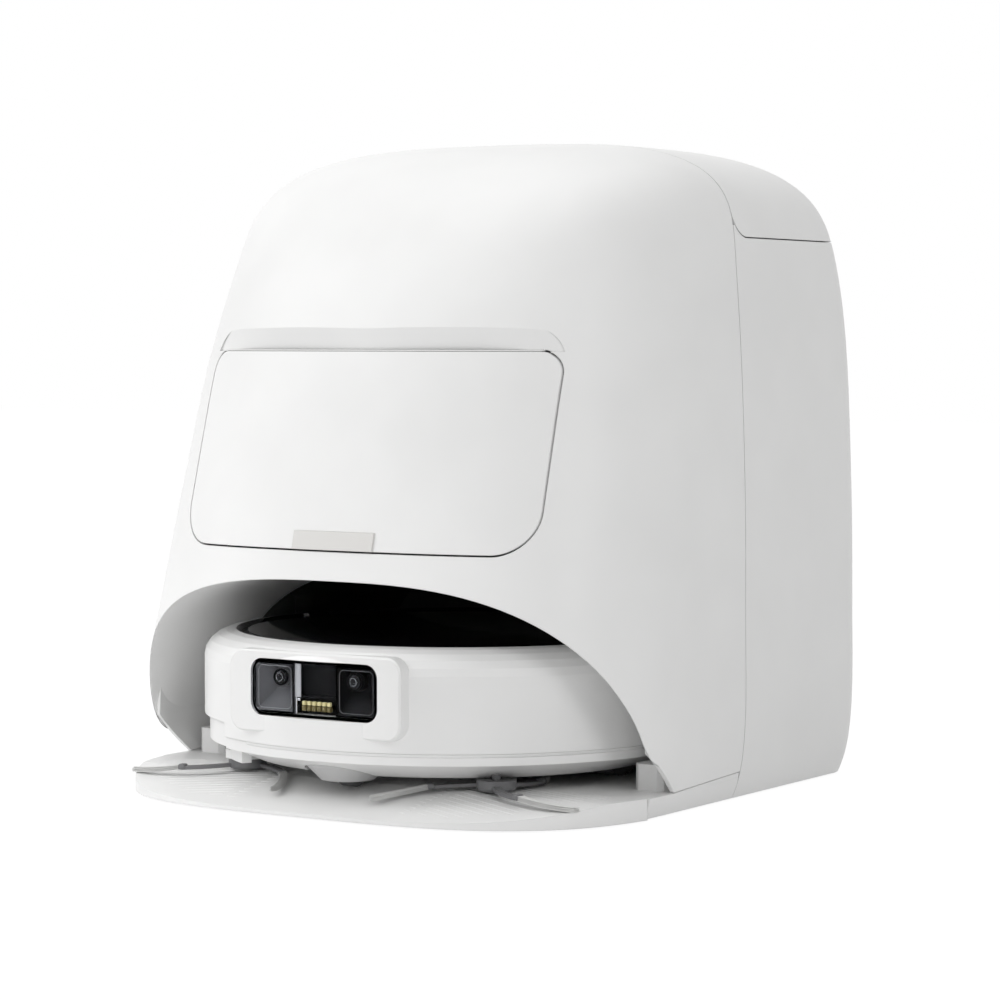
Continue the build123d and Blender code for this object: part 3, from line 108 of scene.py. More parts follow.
class Surface(Enum):
    """The kind of fine relief that a finish carries."""

    MOULDED = "moulded"
    POLISHED = "polished"
    FLEECE = "fleece"
    BRUSHED = "brushed"


# Scale and depth in metres of each relief's grain.
RELIEF: dict[Surface, Pair] = {
    Surface.MOULDED: (2600.0, 0.00001),
    Surface.POLISHED: (30.0, 0.000004),
    Surface.FLEECE: (900.0, 0.0009),
    Surface.BRUSHED: (1400.0, 0.00002),
}


def set_inputs(node: Node, values: dict[str | int, Any]) -> None:
    """Sets the default values of a node's inputs.

    Args:
        node: the node.
        values: each value, by the input's name or number.
    """
    for key, value in values.items():
        node.inputs[key].default_value = value


class Graph:
    """A node tree while it is built."""

    def __init__(self, tree: bpy.types.NodeTree) -> None:
        """Keeps the tree that grows.

        Args:
            tree: the material's, world's or Geometry Nodes tree.
        """
        self.tree = tree

    def node(self, kind: str, values: dict[str | int, Any] | None = None, **settings: Any) -> Node:
        """Adds a node.

        Args:
            kind: the node's type.
            values: default values of its inputs, by name or number.
            settings: its properties.

        Returns:
            The new node.
        """
        made = self.tree.nodes.new(kind)
        for key, value in settings.items():
            setattr(made, key, value)
        set_inputs(made, values or {})
        return made

    def join(self, source: Socket, target: Socket) -> None:
        """Links an output socket to an input socket."""
        self.tree.links.new(source, target)


@dataclass(frozen=True)
class Finish:
    """A procedural material on object coordinates.

    Args:
        name: the material's name.
        colour: linear base colour.
        roughness: mean roughness.
        surface: the fine relief.
        tone: share by which the colour drifts over the surface.
        edge: radius in metres of the softened edges, or 0 for none.
        metallic: 1 for a metal.
        specular: specular level.
        coat: clear coat weight.
        transmission: 1 for a clear material.
        sheen: sheen weight.
        glow: emission strength of the base colour.
        index: index of refraction.
        shade: (start, end) along Y in metres over which the colour falls to a fifth as painted
            shade into the depth, or None.
    """

    name: str
    colour: Colour
    roughness: float
    surface: Surface = Surface.MOULDED
    tone: float = 0.02
    edge: float = 0.0
    metallic: float = 0.0
    specular: float = 0.5
    coat: float = 0.0
    transmission: float = 0.0
    sheen: float = 0.0
    glow: float = 0.0
    index: float = 1.5
    shade: Pair | None = None

    def material(self) -> bpy.types.Material:
        """The material of that name, made on first use.

        Returns:
            The Blender material.
        """
        made = bpy.data.materials.get(self.name)
        if made:
            return made
        made = bpy.data.materials.new(self.name)
        made.use_nodes = True
        graph = Graph(made.node_tree)
        shader = made.node_tree.nodes["Principled BSDF"]
        set_inputs(shader, {
            "Metallic": self.metallic,
            "IOR": self.index,
            "Specular IOR Level": self.specular,
            "Coat Weight": self.coat,
            "Coat Roughness": COAT_ROUGHNESS,
            "Transmission Weight": self.transmission,
            "Sheen Weight": self.sheen,
            "Roughness": self.roughness,
            "Base Color": (*self.colour, 1.0),
        })
        if self.glow:
            set_inputs(shader, {
                "Emission Color": (*self.colour, 1.0),
                "Emission Strength": self.glow,
            })
        place = graph.node("ShaderNodeTexCoord").outputs["Object"]
        self._tone(graph, shader, place)
        self._relief(graph, shader, place)
        return made

    def _tone(self, graph: Graph, shader: Node, place: Socket) -> None:
        """Lets the colour and the roughness drift slowly over the surface.

        Args:
            graph: the material's tree.
            shader: its Principled BSDF.
            place: the object coordinates.
        """
        drift = graph.node("ShaderNodeTexNoise", {"Scale": DRIFT_SCALE, "Detail": DRIFT_DETAIL})
        graph.join(place, drift.inputs["Vector"])
        if self.transmission < 0.5:
            ramp = graph.node("ShaderNodeValToRGB")
            dark = tuple(c * (1 - self.tone) for c in self.colour)
            pale = tuple(min(1.0, c * (1 + self.tone)) for c in self.colour)
            for stop, tint, position in zip(ramp.color_ramp.elements, (dark, pale), DRIFT_STOPS):
                stop.color = (*tint, 1.0)
                stop.position = position
            graph.join(drift.outputs["Fac"], ramp.inputs["Fac"])
            shaded = self._shaded(graph, place, ramp.outputs["Color"])
            graph.join(shaded, shader.inputs["Base Color"])
        spread = graph.node("ShaderNodeMapRange", {
            "To Min": max(0.0, self.roughness - ROUGHNESS_DRIFT),
            "To Max": self.roughness + ROUGHNESS_DRIFT,
        })
        graph.join(drift.outputs["Fac"], spread.inputs["Value"])
        graph.join(spread.outputs["Result"], shader.inputs["Roughness"])

    def _shaded(self, graph: Graph, place: Socket, colour: Socket) -> Socket:
        """Paints shade: the colour falls off into the depth where the finish has a shade range.

        Args:
            graph: the material's tree.
            place: the object coordinates.
            colour: the colour before the fall.

        Returns:
            The colour after it.
        """
        if self.shade is None:
            return colour
        split = graph.node("ShaderNodeSeparateXYZ")
        fall = graph.node("ShaderNodeMapRange", {
            "From Min": self.shade[0],
            "From Max": self.shade[1],
        }, interpolation_type="SMOOTHSTEP")
        deep = (*(c * PAINTED_SHADE_END for c in self.colour), 1.0)
        mix = graph.node("ShaderNodeMix", {"B": deep}, data_type="RGBA")
        graph.join(place, split.inputs["Vector"])
        graph.join(split.outputs["Y"], fall.inputs["Value"])
        graph.join(fall.outputs["Result"], mix.inputs["Factor"])
        graph.join(colour, mix.inputs["A"])
        return mix.outputs["Result"]

    def _relief(self, graph: Graph, shader: Node, place: Socket) -> None:
        """Adds the fine relief and the softened edges.

        Args:
            graph: the material's tree.
            shader: its Principled BSDF.
            place: the object coordinates.
        """
        scale, depth = RELIEF[self.surface]
        grain = graph.node("ShaderNodeTexNoise", {"Scale": scale, "Detail": RELIEF_DETAIL})
        if self.surface is Surface.BRUSHED:
            turn = graph.node("ShaderNodeMapping", {"Scale": BRUSHED_STRETCH})
            graph.join(place, turn.inputs["Vector"])
            graph.join(turn.outputs["Vector"], grain.inputs["Vector"])
        else:
            graph.join(place, grain.inputs["Vector"])
        bump = graph.node("ShaderNodeBump", {"Strength": RELIEF_STRENGTH, "Distance": depth})
        graph.join(grain.outputs["Fac"], bump.inputs["Height"])
        if self.edge:
            soft = graph.node("ShaderNodeBevel", {"Radius": self.edge}, samples=EDGE_SAMPLES)
            graph.join(soft.outputs["Normal"], bump.inputs["Normal"])
        graph.join(bump.outputs["Normal"], shader.inputs["Normal"])


WHITE = Finish("white_satin_plastic", (0.86, 0.86, 0.855), 0.44, edge=0.0009)
ROBOT_WHITE = Finish("robot_white_plastic", (0.85, 0.85, 0.845), 0.36, edge=0.0008, coat=0.05)
TAB_GREY = Finish("warm_grey_tab", (0.72, 0.71, 0.69), 0.45, edge=0.0008)
TRAY_GREY = Finish("tray_grey_plastic", (0.42, 0.42, 0.43), 0.5, edge=0.0005)
STEM_GREY = Finish("brush_stem_grey", (0.15, 0.15, 0.155), 0.42, edge=0.0006)
CUP_GREY = Finish("caster_cup_grey", (0.55, 0.55, 0.55), 0.42, edge=0.0008)
DARK = Finish("dark_moulded_plastic", (0.022, 0.022, 0.025), 0.5, edge=0.0005)
# The left hood is a lit copy of the black one: its grey is painted light.
PAINTED_LIGHT_HOOD_GREY = Finish("grey_lens_hood", (0.15, 0.15, 0.155), 0.4, edge=0.0003, specular=0.25)
HOOD_BLACK = Finish("black_lens_hood", (0.008, 0.008, 0.009), 0.5, edge=0.0003, specular=0.12)
# Glossy black liner; its lighter front, falling darker into the bay's depth, is painted shade.
LINER = Finish("glossy_black_liner", (0.13, 0.13, 0.132), 0.2, Surface.POLISHED, coat=0.3,
               shade=(-0.02, 0.05))
COVER = Finish("piano_black_cover", (0.006, 0.006, 0.007), 0.08, Surface.POLISHED, edge=0.0006,
               coat=0.8)
GLASS = Finish("tinted_window_glass", (0.80, 0.81, 0.83), 0.0, Surface.POLISHED, transmission=1.0,
               index=1.06)
LENS = Finish("lens_glass", (0.004, 0.004, 0.006), 0.05, Surface.POLISHED, specular=0.35)
LENS_RING = Finish("lens_ring", (0.42, 0.42, 0.43), 0.25, Surface.POLISHED, metallic=1.0)
# The rim is real; its brighter finish on the left side only is painted light.
HOOD_RIM_PAINTED_LIGHT = Finish("hood_rim", (0.34, 0.34, 0.35), 0.35, Surface.POLISHED, metallic=0.6)
# The sensor wall is no lamp; its glow is painted light.
PALE_WALL_PAINTED_GLOW = Finish("pale_sensor_wall", (0.42, 0.42, 0.43), 0.4, glow=0.4)
CHROME = Finish("bright_trim", (0.75, 0.75, 0.76), 0.16, Surface.POLISHED, metallic=1.0)
STEEL = Finish("brushed_steel", (0.55, 0.56, 0.57), 0.32, Surface.BRUSHED, metallic=1.0)
CONTACT = Finish("gilt_contact", (0.80, 0.56, 0.24), 0.25, Surface.BRUSHED, metallic=1.0)
RUBBER = Finish("black_rubber", (0.016, 0.016, 0.017), 0.75, tone=0.1)
ROLLER = Finish("grey_roller_rubber", (0.12, 0.12, 0.13), 0.6, tone=0.06)
FLEECE = Finish("mop_fleece", (0.26, 0.27, 0.29), 0.9, Surface.FLEECE, tone=0.16, sheen=0.5)
PAPER = Finish("bag_paper_fleece", (0.74, 0.72, 0.66), 0.85, Surface.FLEECE, tone=0.05, sheen=0.3)
TANK = Finish("smoky_tank_plastic", (0.30, 0.34, 0.38), 0.14, Surface.POLISHED, coat=0.3)
BOARD = Finish("board_green", (0.03, 0.14, 0.075), 0.4)
BRISTLE = Finish("bristle_grey", (0.70, 0.70, 0.69), 0.45, tone=0.2)
LAMP = Finish("warm_lamp", (0.74, 0.66, 0.34), 0.3, tone=0.1, glow=0.3)
LAMP_BASE = Finish("lamp_base", (0.20, 0.16, 0.06), 0.45, glow=0.12)

NODE_FINISH: dict[str, Finish] = {
    "front_shell": WHITE, "rear_housing": WHITE, "tank_lid": WHITE, "hatch_panel": WHITE,
    "base_plinth": WHITE, "ramp_plate": WHITE, "hatch_pull_tab": TAB_GREY, "wash_tray": TRAY_GREY,
    "rubber_feet": RUBBER, "bay_liner": LINER, "charging_contacts": CONTACT, "inner_frame": DARK,
    "dust_chamber": DARK, "bag_collar": TRAY_GREY, "dust_duct": DARK, "clean_water_tank": TANK,
    "dirty_water_tank": TANK, "clean_tank_cap": WHITE, "dirty_tank_cap": TRAY_GREY,
    "suction_motor": DARK, "water_pumps": DARK, "station_board": BOARD, "power_inlet": DARK,
    "lid_hinge_pins": STEEL, "hatch_hinge_pins": STEEL, "bumper_shell": ROBOT_WHITE,
    "rear_shell": ROBOT_WHITE, "robot_chassis": ROBOT_WHITE, "swing_arm": ROBOT_WHITE,
    # The left camera's grey hood against the right one's black is painted light.
    "sensor_window": GLASS, "camera_left": PAINTED_LIGHT_HOOD_GREY, "camera_right": HOOD_BLACK,
    "depth_sensor": HOOD_BLACK, "led_strip": HOOD_BLACK, "top_deck": DARK, "top_cover": COVER,
    "dust_box": TANK, "roller_hood": DARK, "battery_pack": DARK, "blower": DARK,
    "mop_motors": STEEL, "robot_contacts": CONTACT, "wheel_arm_left": DARK,
    "wheel_arm_right": DARK, "wheel_hub_left": DARK, "wheel_hub_right": DARK,
    "wheel_tyre_left": RUBBER, "wheel_tyre_right": RUBBER, "main_roller": ROLLER,
    "mop_disc_left": TRAY_GREY, "mop_disc_right": TRAY_GREY, "caster_swivel": CUP_GREY,
    "caster_wheel": RUBBER, "side_brush_left": STEM_GREY, "side_brush_right": STEM_GREY,
}


def dress_nodes() -> None:
    """Gives every CAD node that stays in view its finish."""
    for name, finish in NODE_FINISH.items():
        mesh = frame["nodes"][name].data
        mesh.materials.clear()
        mesh.materials.append(finish.material())


def new_piece(name: str, mesh: Mesh, finish: Finish, body: str) -> bpy.types.Object:
    """Puts a mesh into the scene as a piece that rides on a body.

    Args:
        name: the piece's name.
        mesh: its mesh, in place.
        finish: its material.
        body: the CAD body that it moves with.

    Returns:
        The new object.
    """
    mesh.name = name
    mesh.materials.clear()
    mesh.materials.append(finish.material())
    piece = bpy.data.objects.new(name, mesh)
    bpy.context.scene.collection.objects.link(piece)
    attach(piece, body)
    LOG.info("piece %s on %s: %d faces", name, body, len(mesh.polygons))
    return piece


def take_mesh(bm: BMesh, name: str = "mesh") -> Mesh:
    """Moves a bmesh into a new mesh and frees it.

    Args:
        bm: the bmesh.
        name: the mesh's name.

    Returns:
        The mesh.
    """
    mesh = bpy.data.meshes.new(name)
    bm.to_mesh(mesh)
    bm.free()
    return mesh


def mesh_of(build: Callable[[BMesh], None], smooth: bool = True) -> Mesh:
    """Makes a mesh from a function that fills a bmesh.

    Args:
        build: fills the bmesh.
        smooth: whether the faces are shaded smooth.

    Returns:
        The mesh, with its normals outwards.
    """
    bm = bmesh.new()
    build(bm)
    bmesh.ops.remove_doubles(bm, verts=bm.verts, dist=MERGE_DISTANCE)
    bmesh.ops.recalc_face_normals(bm, faces=bm.faces)
    for face in bm.faces:
        face.smooth = smooth
    return take_mesh(bm)


def lathe(profile: list[Pair], place: Matrix, steps: int = 40) -> Mesh:
    """Turns a profile of radius and height about the Z axis of a place.

    Args:
        profile: points of radius and height, from the axis to the axis or closed.
        place: where the turned shape stands.
        steps: faces round the axis.

    Returns:
        The closed mesh.
    """

    def build(bm: BMesh) -> None:
        """Adds the rings of the profile's points and the faces between them.

        Args:
            bm: the bmesh that grows.
        """
        rings = []
        for radius, height in profile:
            if radius < ON_AXIS:
                rings.append([bm.verts.new(place @ Vector((0, 0, height)))])
                continue
            ring = []
            for k in range(steps):
                turn = 2 * math.pi * k / steps
                spot = Vector((radius * math.cos(turn), radius * math.sin(turn), height))
                ring.append(bm.verts.new(place @ spot))
            rings.append(ring)
        for low, high in zip(rings, rings[1:]):
            for k in range(steps):
                quad = [
                    low[k % len(low)],
                    low[(k + 1) % len(low)],
                    high[(k + 1) % len(high)],
                    high[k % len(high)],
                ]
                corners = list(dict.fromkeys(quad))
                if len(corners) > 2:
                    bm.faces.new(corners)

    return mesh_of(build)


def sweep_rows(bm: BMesh, sections: list[list[Point]]) -> None:
    """Joins closed sections of equal length into one tube with end caps.

    Args:
        bm: the bmesh that grows.
        sections: the corners of each section, in order along the tube.
    """
    rows = [[bm.verts.new(corner) for corner in section] for section in sections]
    for one, two in zip(rows, rows[1:]):
        for k in range(len(one)):
            after = (k + 1) % len(one)
            bm.faces.new((one[k], one[after], two[after], two[k]))
    bm.faces.new(rows[0])
    bm.faces.new(rows[-1])


def rounded_block(bm: BMesh, middle: Point, size: Point) -> None:
    """Adds a small block with rounded edges to a bmesh.

    Args:
        bm: the bmesh that grows.
        middle: the block's middle.
        size: its three sides.
    """
    part = bmesh.new()
    bmesh.ops.create_cube(part, size=1.0)
    bmesh.ops.scale(part, vec=size, verts=part.verts)
    bmesh.ops.bevel(part, geom=part.edges[:], offset=BLOCK_ROUND * min(size), segments=2,
                    affect="EDGES", profile=0.5)
    bmesh.ops.translate(part, vec=middle, verts=part.verts)
    mesh = take_mesh(part)
    bm.from_mesh(mesh)
    bpy.data.meshes.remove(mesh)


class NodeTree(Graph):
    """A Geometry Nodes tree whose result is turned into a plain mesh."""

    def __init__(self, name: str) -> None:
        """Starts a tree with a geometry input and output.

        Args:
            name: the tree's name.
        """
        super().__init__(bpy.data.node_groups.new(name, "GeometryNodeTree"))
        self.ids: dict[str, str] = {}
        for way in ("INPUT", "OUTPUT"):
            self.tree.interface.new_socket("Geometry", in_out=way, socket_type="NodeSocketGeometry")
        self.entry = self.node("NodeGroupInput")
        self.exit = self.node("NodeGroupOutput")

    def size(self, name: str, kind: str = "NodeSocketFloat") -> None:
        """Adds a named input to the tree."""
        socket = self.tree.interface.new_socket(name, in_out="INPUT", socket_type=kind)
        self.ids[name] = socket.identifier

    def scaled(self, name: str, factor: float) -> Socket:
        """Multiplies a named input by a fixed number.

        Args:
            name: the input's name.
            factor: the number.

        Returns:
            The product.
        """
        product = self.node("ShaderNodeMath", {1: factor}, operation="MULTIPLY")
        self.join(self.entry.outputs[name], product.inputs[0])
        return product.outputs[0]

    def tube(self, path: Socket, sides: int) -> Socket:
        """Sweeps a circle of the input Radius along a curve.

        Args:
            path: the curve.
            sides: sides of the circle.

        Returns:
            The capped tube's mesh.
        """
        circle = self.node("GeometryNodeCurvePrimitiveCircle", {"Resolution": sides})
        sweep = self.node("GeometryNodeCurveToMesh", {"Fill Caps": True})
        self.join(self.entry.outputs["Radius"], circle.inputs["Radius"])
        self.join(path, sweep.inputs["Curve"])
        self.join(circle.outputs["Curve"], sweep.inputs["Profile Curve"])
        return sweep.outputs["Mesh"]

    def close(self, geometry: Socket) -> None:
        """Ends the tree in Realize Instances and Set Material.

        Args:
            geometry: what the tree has made.
        """
        real = self.node("GeometryNodeRealizeInstances")
        paint = self.node("GeometryNodeSetMaterial")
        self.join(geometry, real.inputs["Geometry"])
        self.join(real.outputs["Geometry"], paint.inputs["Geometry"])
        self.join(self.entry.outputs["Material"], paint.inputs["Material"])
        self.join(paint.outputs["Geometry"], self.exit.inputs["Geometry"])

    def mesh(self, base: Mesh, finish: Finish, **sizes: float) -> Mesh:
        """Runs the tree on a mesh.

        Args:
            base: the mesh that the tree starts from.
            finish: the material for Set Material.
            sizes: values for the named inputs.

        Returns:
            The plain mesh.
        """
        carrier = bpy.data.objects.new("carrier", base)
        bpy.context.scene.collection.objects.link(carrier)
        modifier = carrier.modifiers.new("nodes", "NODES")
        modifier.node_group = self.tree
        modifier[self.ids["Material"]] = finish.material()
        for name, value in sizes.items():
            modifier[self.ids[name]] = value
        carrier.update_tag()
        graph = bpy.context.evaluated_depsgraph_get()
        result = bpy.data.meshes.new_from_object(carrier.evaluated_get(graph))
        carrier.modifiers.remove(modifier)
        bpy.data.objects.remove(carrier)
        return result


def rib_tree() -> NodeTree:
    """A tree that lays a rounded rib along every edge of a mesh.

    Returns:
        The tree, with inputs Radius and Material.
    """
    tree = NodeTree("ribs_along_edges")
    tree.size("Radius")
    tree.size("Material", "NodeSocketMaterial")
    curve = tree.node("GeometryNodeMeshToCurve")
    tree.join(tree.entry.outputs["Geometry"], curve.inputs["Mesh"])
    tree.close(tree.tube(curve.outputs["Curve"], RIB_SIDES))
    return tree


def strand_tree() -> NodeTree:
    """A tree that sets curved bristles on the points of a mesh.

    Returns:
        The tree, with inputs Length, Drop, Swing, Radius, Seed and Material.
    """
    tree = NodeTree("bristles_on_points")
    for name in ("Length", "Drop", "Swing", "Radius"):
        tree.size(name)
    tree.size("Seed", "NodeSocketInt")
    tree.size("Material", "NodeSocketMaterial")
    middle = tree.node("ShaderNodeCombineXYZ")
    tree.join(tree.scaled("Length", 0.55), middle.inputs["X"])
    tree.join(tree.scaled("Drop", -0.8), middle.inputs["Z"])
    end = tree.node("ShaderNodeCombineXYZ")
    tree.join(tree.entry.outputs["Length"], end.inputs["X"])
    tree.join(tree.entry.outputs["Swing"], end.inputs["Y"])
    tree.join(tree.scaled("Drop", -1.0), end.inputs["Z"])
    path = tree.node("GeometryNodeCurveQuadraticBezier", {
        "Resolution": STRAND_STEPS,
        "Start": (0, 0, 0),
    })
    tree.join(middle.outputs[0], path.inputs["Middle"])
    tree.join(end.outputs[0], path.inputs["End"])
    strand = tree.tube(path.outputs["Curve"], STRAND_SIDES)
    stretch = tree.node("FunctionNodeRandomValue", {
        "Min": (0.93, 0.94, 0.9),
        "Max": (1.0, 1.06, 1.0),
    }, data_type="FLOAT_VECTOR")
    tree.join(tree.entry.outputs["Seed"], stretch.inputs["Seed"])
    spread = tree.node("GeometryNodeInstanceOnPoints")
    tree.join(tree.entry.outputs["Geometry"], spread.inputs["Points"])
    tree.join(strand, spread.inputs["Instance"])
    tree.join(stretch.outputs["Value"], spread.inputs["Scale"])
    tree.close(spread.outputs["Instances"])
    return tree


def edges_mesh(lines: list[tuple[Point, Point]]) -> Mesh:
    """A mesh of loose edges.

    Args:
        lines: the two ends of each edge.

    Returns:
        The mesh.
    """
    points = [p for line in lines for p in line]
    mesh = bpy.data.meshes.new("lines")
    mesh.from_pydata(points, [(2 * k, 2 * k + 1) for k in range(len(lines))], [])
    return mesh


@dataclass
class SideBrush:
    """A side brush's three tufts, which stand for the plain bristle solids.

    Args:
        side: the side it is on; the sizes are those of the right one.
        hub: place of its axis.
        root_height: height of the tufts' roots.
        stem_reach: from the axis to a stem's end.
        stem_turn: degrees by which a stem's end turns off its direction.
        stem_angles: directions of the stems in degrees.
        drops: how far each tuft's tips hang below its root.
        length: length of a strand.
        swing: how far a strand's tip bends aside.
        strand_radius: radius of a strand.
        rows: rows of strands in a tuft.
        columns: strands in a row.
        pitch: distance between strands.
        clip_size: sides of the clip on a stem's end.
        clip_round: radius of the clip's edges.
    """

    side: Side
    hub: Pair = (0.101, -0.127)
    root_height: float = 0.0185
    stem_reach: float = 0.044
    stem_turn: float = 25.6
    stem_angles: tuple[float, ...] = (-159.0, -39.0, 81.0)
    drops: tuple[float, ...] = (0.0054, 0.0050, 0.0008)
    length: float = 0.043
    swing: float = 0.0105
    strand_radius: float = 0.00017
    rows: int = 7
    columns: int = 12
    pitch: float = 0.00046
    clip_size: Point = (0.0050, 0.0066, 0.0040)
    clip_round: float = 0.0012

    def root(self, angle: float) -> Matrix:
        """Where a stem ends, with X along its end.

        Args:
            angle: direction of the stem in degrees.

        Returns:
            The place, mirrored for the left brush.
        """
        turn = math.radians(angle)
        x = self.hub[0] + self.stem_reach * math.cos(turn)
        y = self.hub[1] + self.stem_reach * math.sin(turn)
        spin = Matrix.Rotation(math.radians(angle + self.stem_turn), 4, "Z")
        place = Matrix.Translation((x, y, self.root_height)) @ spin
        if self.side is Side.LEFT:
            place = Matrix.Scale(-1, 4, (1, 0, 0)) @ place
        return place

    def tuft(self, angle: float, drop: float, seed: int, tree: NodeTree) -> Mesh:
        """One tuft, at the end of its stem.

        Args:
            angle: direction of the stem in degrees.
            drop: how far the tips hang below the root.
            seed: seed of the strands' lengths.
            tree: the bristle tree.

        Returns:
            The tuft's mesh, in place.
        """
        points = []
        for row in range(self.rows):
            for column in range(self.columns):
                shift = 0.5 * (row % 2)
                y = (column + shift - (self.columns - 0.5) / 2) * self.pitch
                z = (row - (self.rows - 1) / 2) * self.pitch
                points.append((0.0, y, z))
        base = bpy.data.meshes.new("roots")
        base.from_pydata(points, [], [])
        mesh = tree.mesh(base, BRISTLE, Length=self.length, Drop=drop, Swing=self.swing,
                         Radius=self.strand_radius, Seed=seed)
        mesh.transform(self.root(angle))
        if self.side is Side.LEFT:
            mesh.flip_normals()
        return mesh

    def clip(self, angle: float) -> Mesh:
        """The small clip that holds a tuft on its stem.

        Args:
            angle: direction of the stem in degrees.

        Returns:
            The clip's mesh, in place.
        """
        place = self.root(angle)

        def build(bm: BMesh) -> None:
            """Adds a block with well rounded edges.

            Args:
                bm: the bmesh that grows.
            """
            bmesh.ops.create_cube(bm, size=1.0)
            bmesh.ops.scale(bm, vec=self.clip_size, verts=bm.verts)
            bmesh.ops.bevel(bm, geom=bm.edges[:], offset=self.clip_round, segments=3,
                            affect="EDGES", profile=0.5)
            bmesh.ops.transform(bm, matrix=place, verts=bm.verts)

        return mesh_of(build)

    def build(self, tree: NodeTree) -> None:
        """Makes the tufts and their clips and lets them ride on the brush.

        Args:
            tree: the bristle tree.
        """
        whole = bmesh.new()
        clips = bmesh.new()
        for number, (angle, drop) in enumerate(zip(self.stem_angles, self.drops)):
            whole.from_mesh(self.tuft(angle, drop, number + 1, tree))
            clips.from_mesh(self.clip(angle))
        word = self.side.word
        body = f"brush_{word}"
        tufts = new_piece(f"bristles_{word}", take_mesh(whole), BRISTLE, body)
        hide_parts(f"brush_tufts_{word}")
        new_piece(f"bristle_clips_{word}", take_mesh(clips), STEM_GREY, body)


@dataclass
class MopPad:
    """A fleece pad under a mop disc, inside the plain pad's box.

    Args:
        side: the side it is on.
        rings: rings of faces on the underside.
        steps: faces round the axis.
        flat: share of the radius that the underside takes.
        middle_rise: height of the underside's middle.
        wave: half the height of the underside's waves.
        wave_turn: turn of the waves from the middle to the rim, in radians.
        rim: (share of the radius, height) of the rim's points, from below.
        top: share of the radius that the upper face takes.
        top_margin: depth under the upper face that stays unruffled.
        ruffle_scale: fineness of the ruffles.
        ruffle_height: height of the ruffles.
        ruffle_from: share of the radius from which the rim is ruffled too.
        ruffle_rim: share by which the rim is drawn in and out.
        ruffle_shift: part of the ruffle that only draws in.
    """

    side: Side
    rings: int = 16
    steps: int = 96
    flat: float = 0.94
    middle_rise: float = 0.0006
    wave: float = 0.0004
    wave_turn: float = 18.0
    rim: tuple[Pair, ...] = ((0.985, 0.0012), (1.0, 0.0032), (0.985, 0.0055))
    top: float = 0.95
    top_margin: float = 0.001
    ruffle_scale: float = 160.0
    ruffle_height: float = 0.0005
    ruffle_from: float = 0.9
    ruffle_rim: float = 0.012
    ruffle_shift: float = 0.6

    def build(self) -> None:
        """Makes the pad and lets it ride on its mop."""
        word = self.side.word
        node = f"mop_pad_{word}"
        low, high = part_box(node)
        cx = (low[0] + high[0]) / 2
        cy = (low[1] + high[1]) / 2
        radius = (high[0] - low[0]) / 2
        profile = [(0.0, low[2] + self.middle_rise)]
        for k in range(1, self.rings + 1):
            share = k / self.rings
            height = low[2] + self.wave + self.wave * math.cos(self.wave_turn * share)
            profile.append((radius * self.flat * share, height))
        profile += [(radius * reach, low[2] + height) for reach, height in self.rim]
        profile += [(radius * self.top, high[2]), (0.0, high[2])]
        mesh = lathe(profile, Matrix.Translation((cx, cy, 0)), self.steps)
        for vertex in mesh.vertices:
            ruffle = noise.noise(vertex.co * self.ruffle_scale)
            edge = math.hypot(vertex.co.x - cx, vertex.co.y - cy) / radius
            if vertex.co.z < high[2] - self.top_margin:
                vertex.co.z = max(low[2], vertex.co.z + self.ruffle_height * ruffle)
            if edge > self.ruffle_from:
                draw = ruffle - self.ruffle_shift
                vertex.co.x += (vertex.co.x - cx) * self.ruffle_rim * draw
                vertex.co.y += (vertex.co.y - cy) * self.ruffle_rim * draw
        pad = new_piece(f"fleece_pad_{word}", mesh, FLEECE, f"mop_{word}")
        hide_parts(node)


@dataclass
class DustBag:
    """The paper bag in the chamber, which sags on its floor inside the plain bag's box.

    Args:
        steps: cuts along each edge of the block that it is formed from.
        squareness: power of the rounded block; higher is squarer.
        sag: share by which the upper part draws in.
        dip: share by which the top sinks in.
        dip_turn: turn of the dip across the bag, in radians per half width.
        fold: depth of the upright folds.
        fold_turn: turn of the folds across and up the bag, in radians.
        crumple: depth of the crumples.
        crumple_scale: fineness of the crumples.
        margin_x: share that stays free at each side.
        fill_y: share of the box's depth that is filled.
        fill_z: share of the box's height that is filled.
    """

    steps: int = 34
    squareness: int = 5
    sag: float = 0.14
    dip: float = 0.10
    dip_turn: float = 2.2
    fold: float = 0.018
    fold_turn: Pair = (17.0, 5.0)
    crumple: float = 0.02
    crumple_scale: float = 3.1
    margin_x: float = 0.02
    fill_y: float = 0.97
    fill_z: float = 0.98

    def shaped(self, unit: Vector) -> Vector:
        """Moves a point of the unit block to its place on the bag.

        Args:
            unit: the point, from -1 to 1.

        Returns:
            The point on the bag, from -1 to 1.
        """
        length = sum(abs(c) ** self.squareness for c in unit) ** (1 / self.squareness)
        unit = unit / length
        upper = max(0.0, unit.z)
        sag = 1 - self.sag * upper**2
        turn = self.fold_turn[0] * unit.x + self.fold_turn[1] * unit.z
        fold = self.fold * math.sin(turn) * (1 - abs(unit.z))
        fold += self.crumple * noise.noise(unit * self.crumple_scale)
        rise = unit.z - self.dip * upper * math.cos(self.dip_turn * unit.x)
        wide = unit.x * (sag - self.margin_x + fold)
        deep = unit.y * (self.fill_y * sag + fold)
        return Vector([max(-1.0, min(1.0, c)) for c in Vector((wide, deep, rise * self.fill_z))])

    def build(self) -> None:
        """Makes the bag and lets it ride on the station."""
        low, high = (Vector(c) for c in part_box("dust_bag"))
        middle = (low + high) / 2
        half = (high - low) / 2

        def fill(bm: BMesh) -> None:
            """Adds a fine block and gives it the bag's shape.

            Args:
                bm: the bmesh that grows.
            """
            bmesh.ops.create_cube(bm, size=2.0)
            bmesh.ops.subdivide_edges(bm, edges=bm.edges[:], cuts=self.steps, use_grid_fill=True)
            for vertex in bm.verts:
                spot = self.shaped(vertex.co)
                vertex.co = Vector([middle[i] + half[i] * spot[i] for i in range(3)])

        bag = new_piece("paper_dust_bag", mesh_of(fill), PAPER, "station")
        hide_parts("dust_bag")


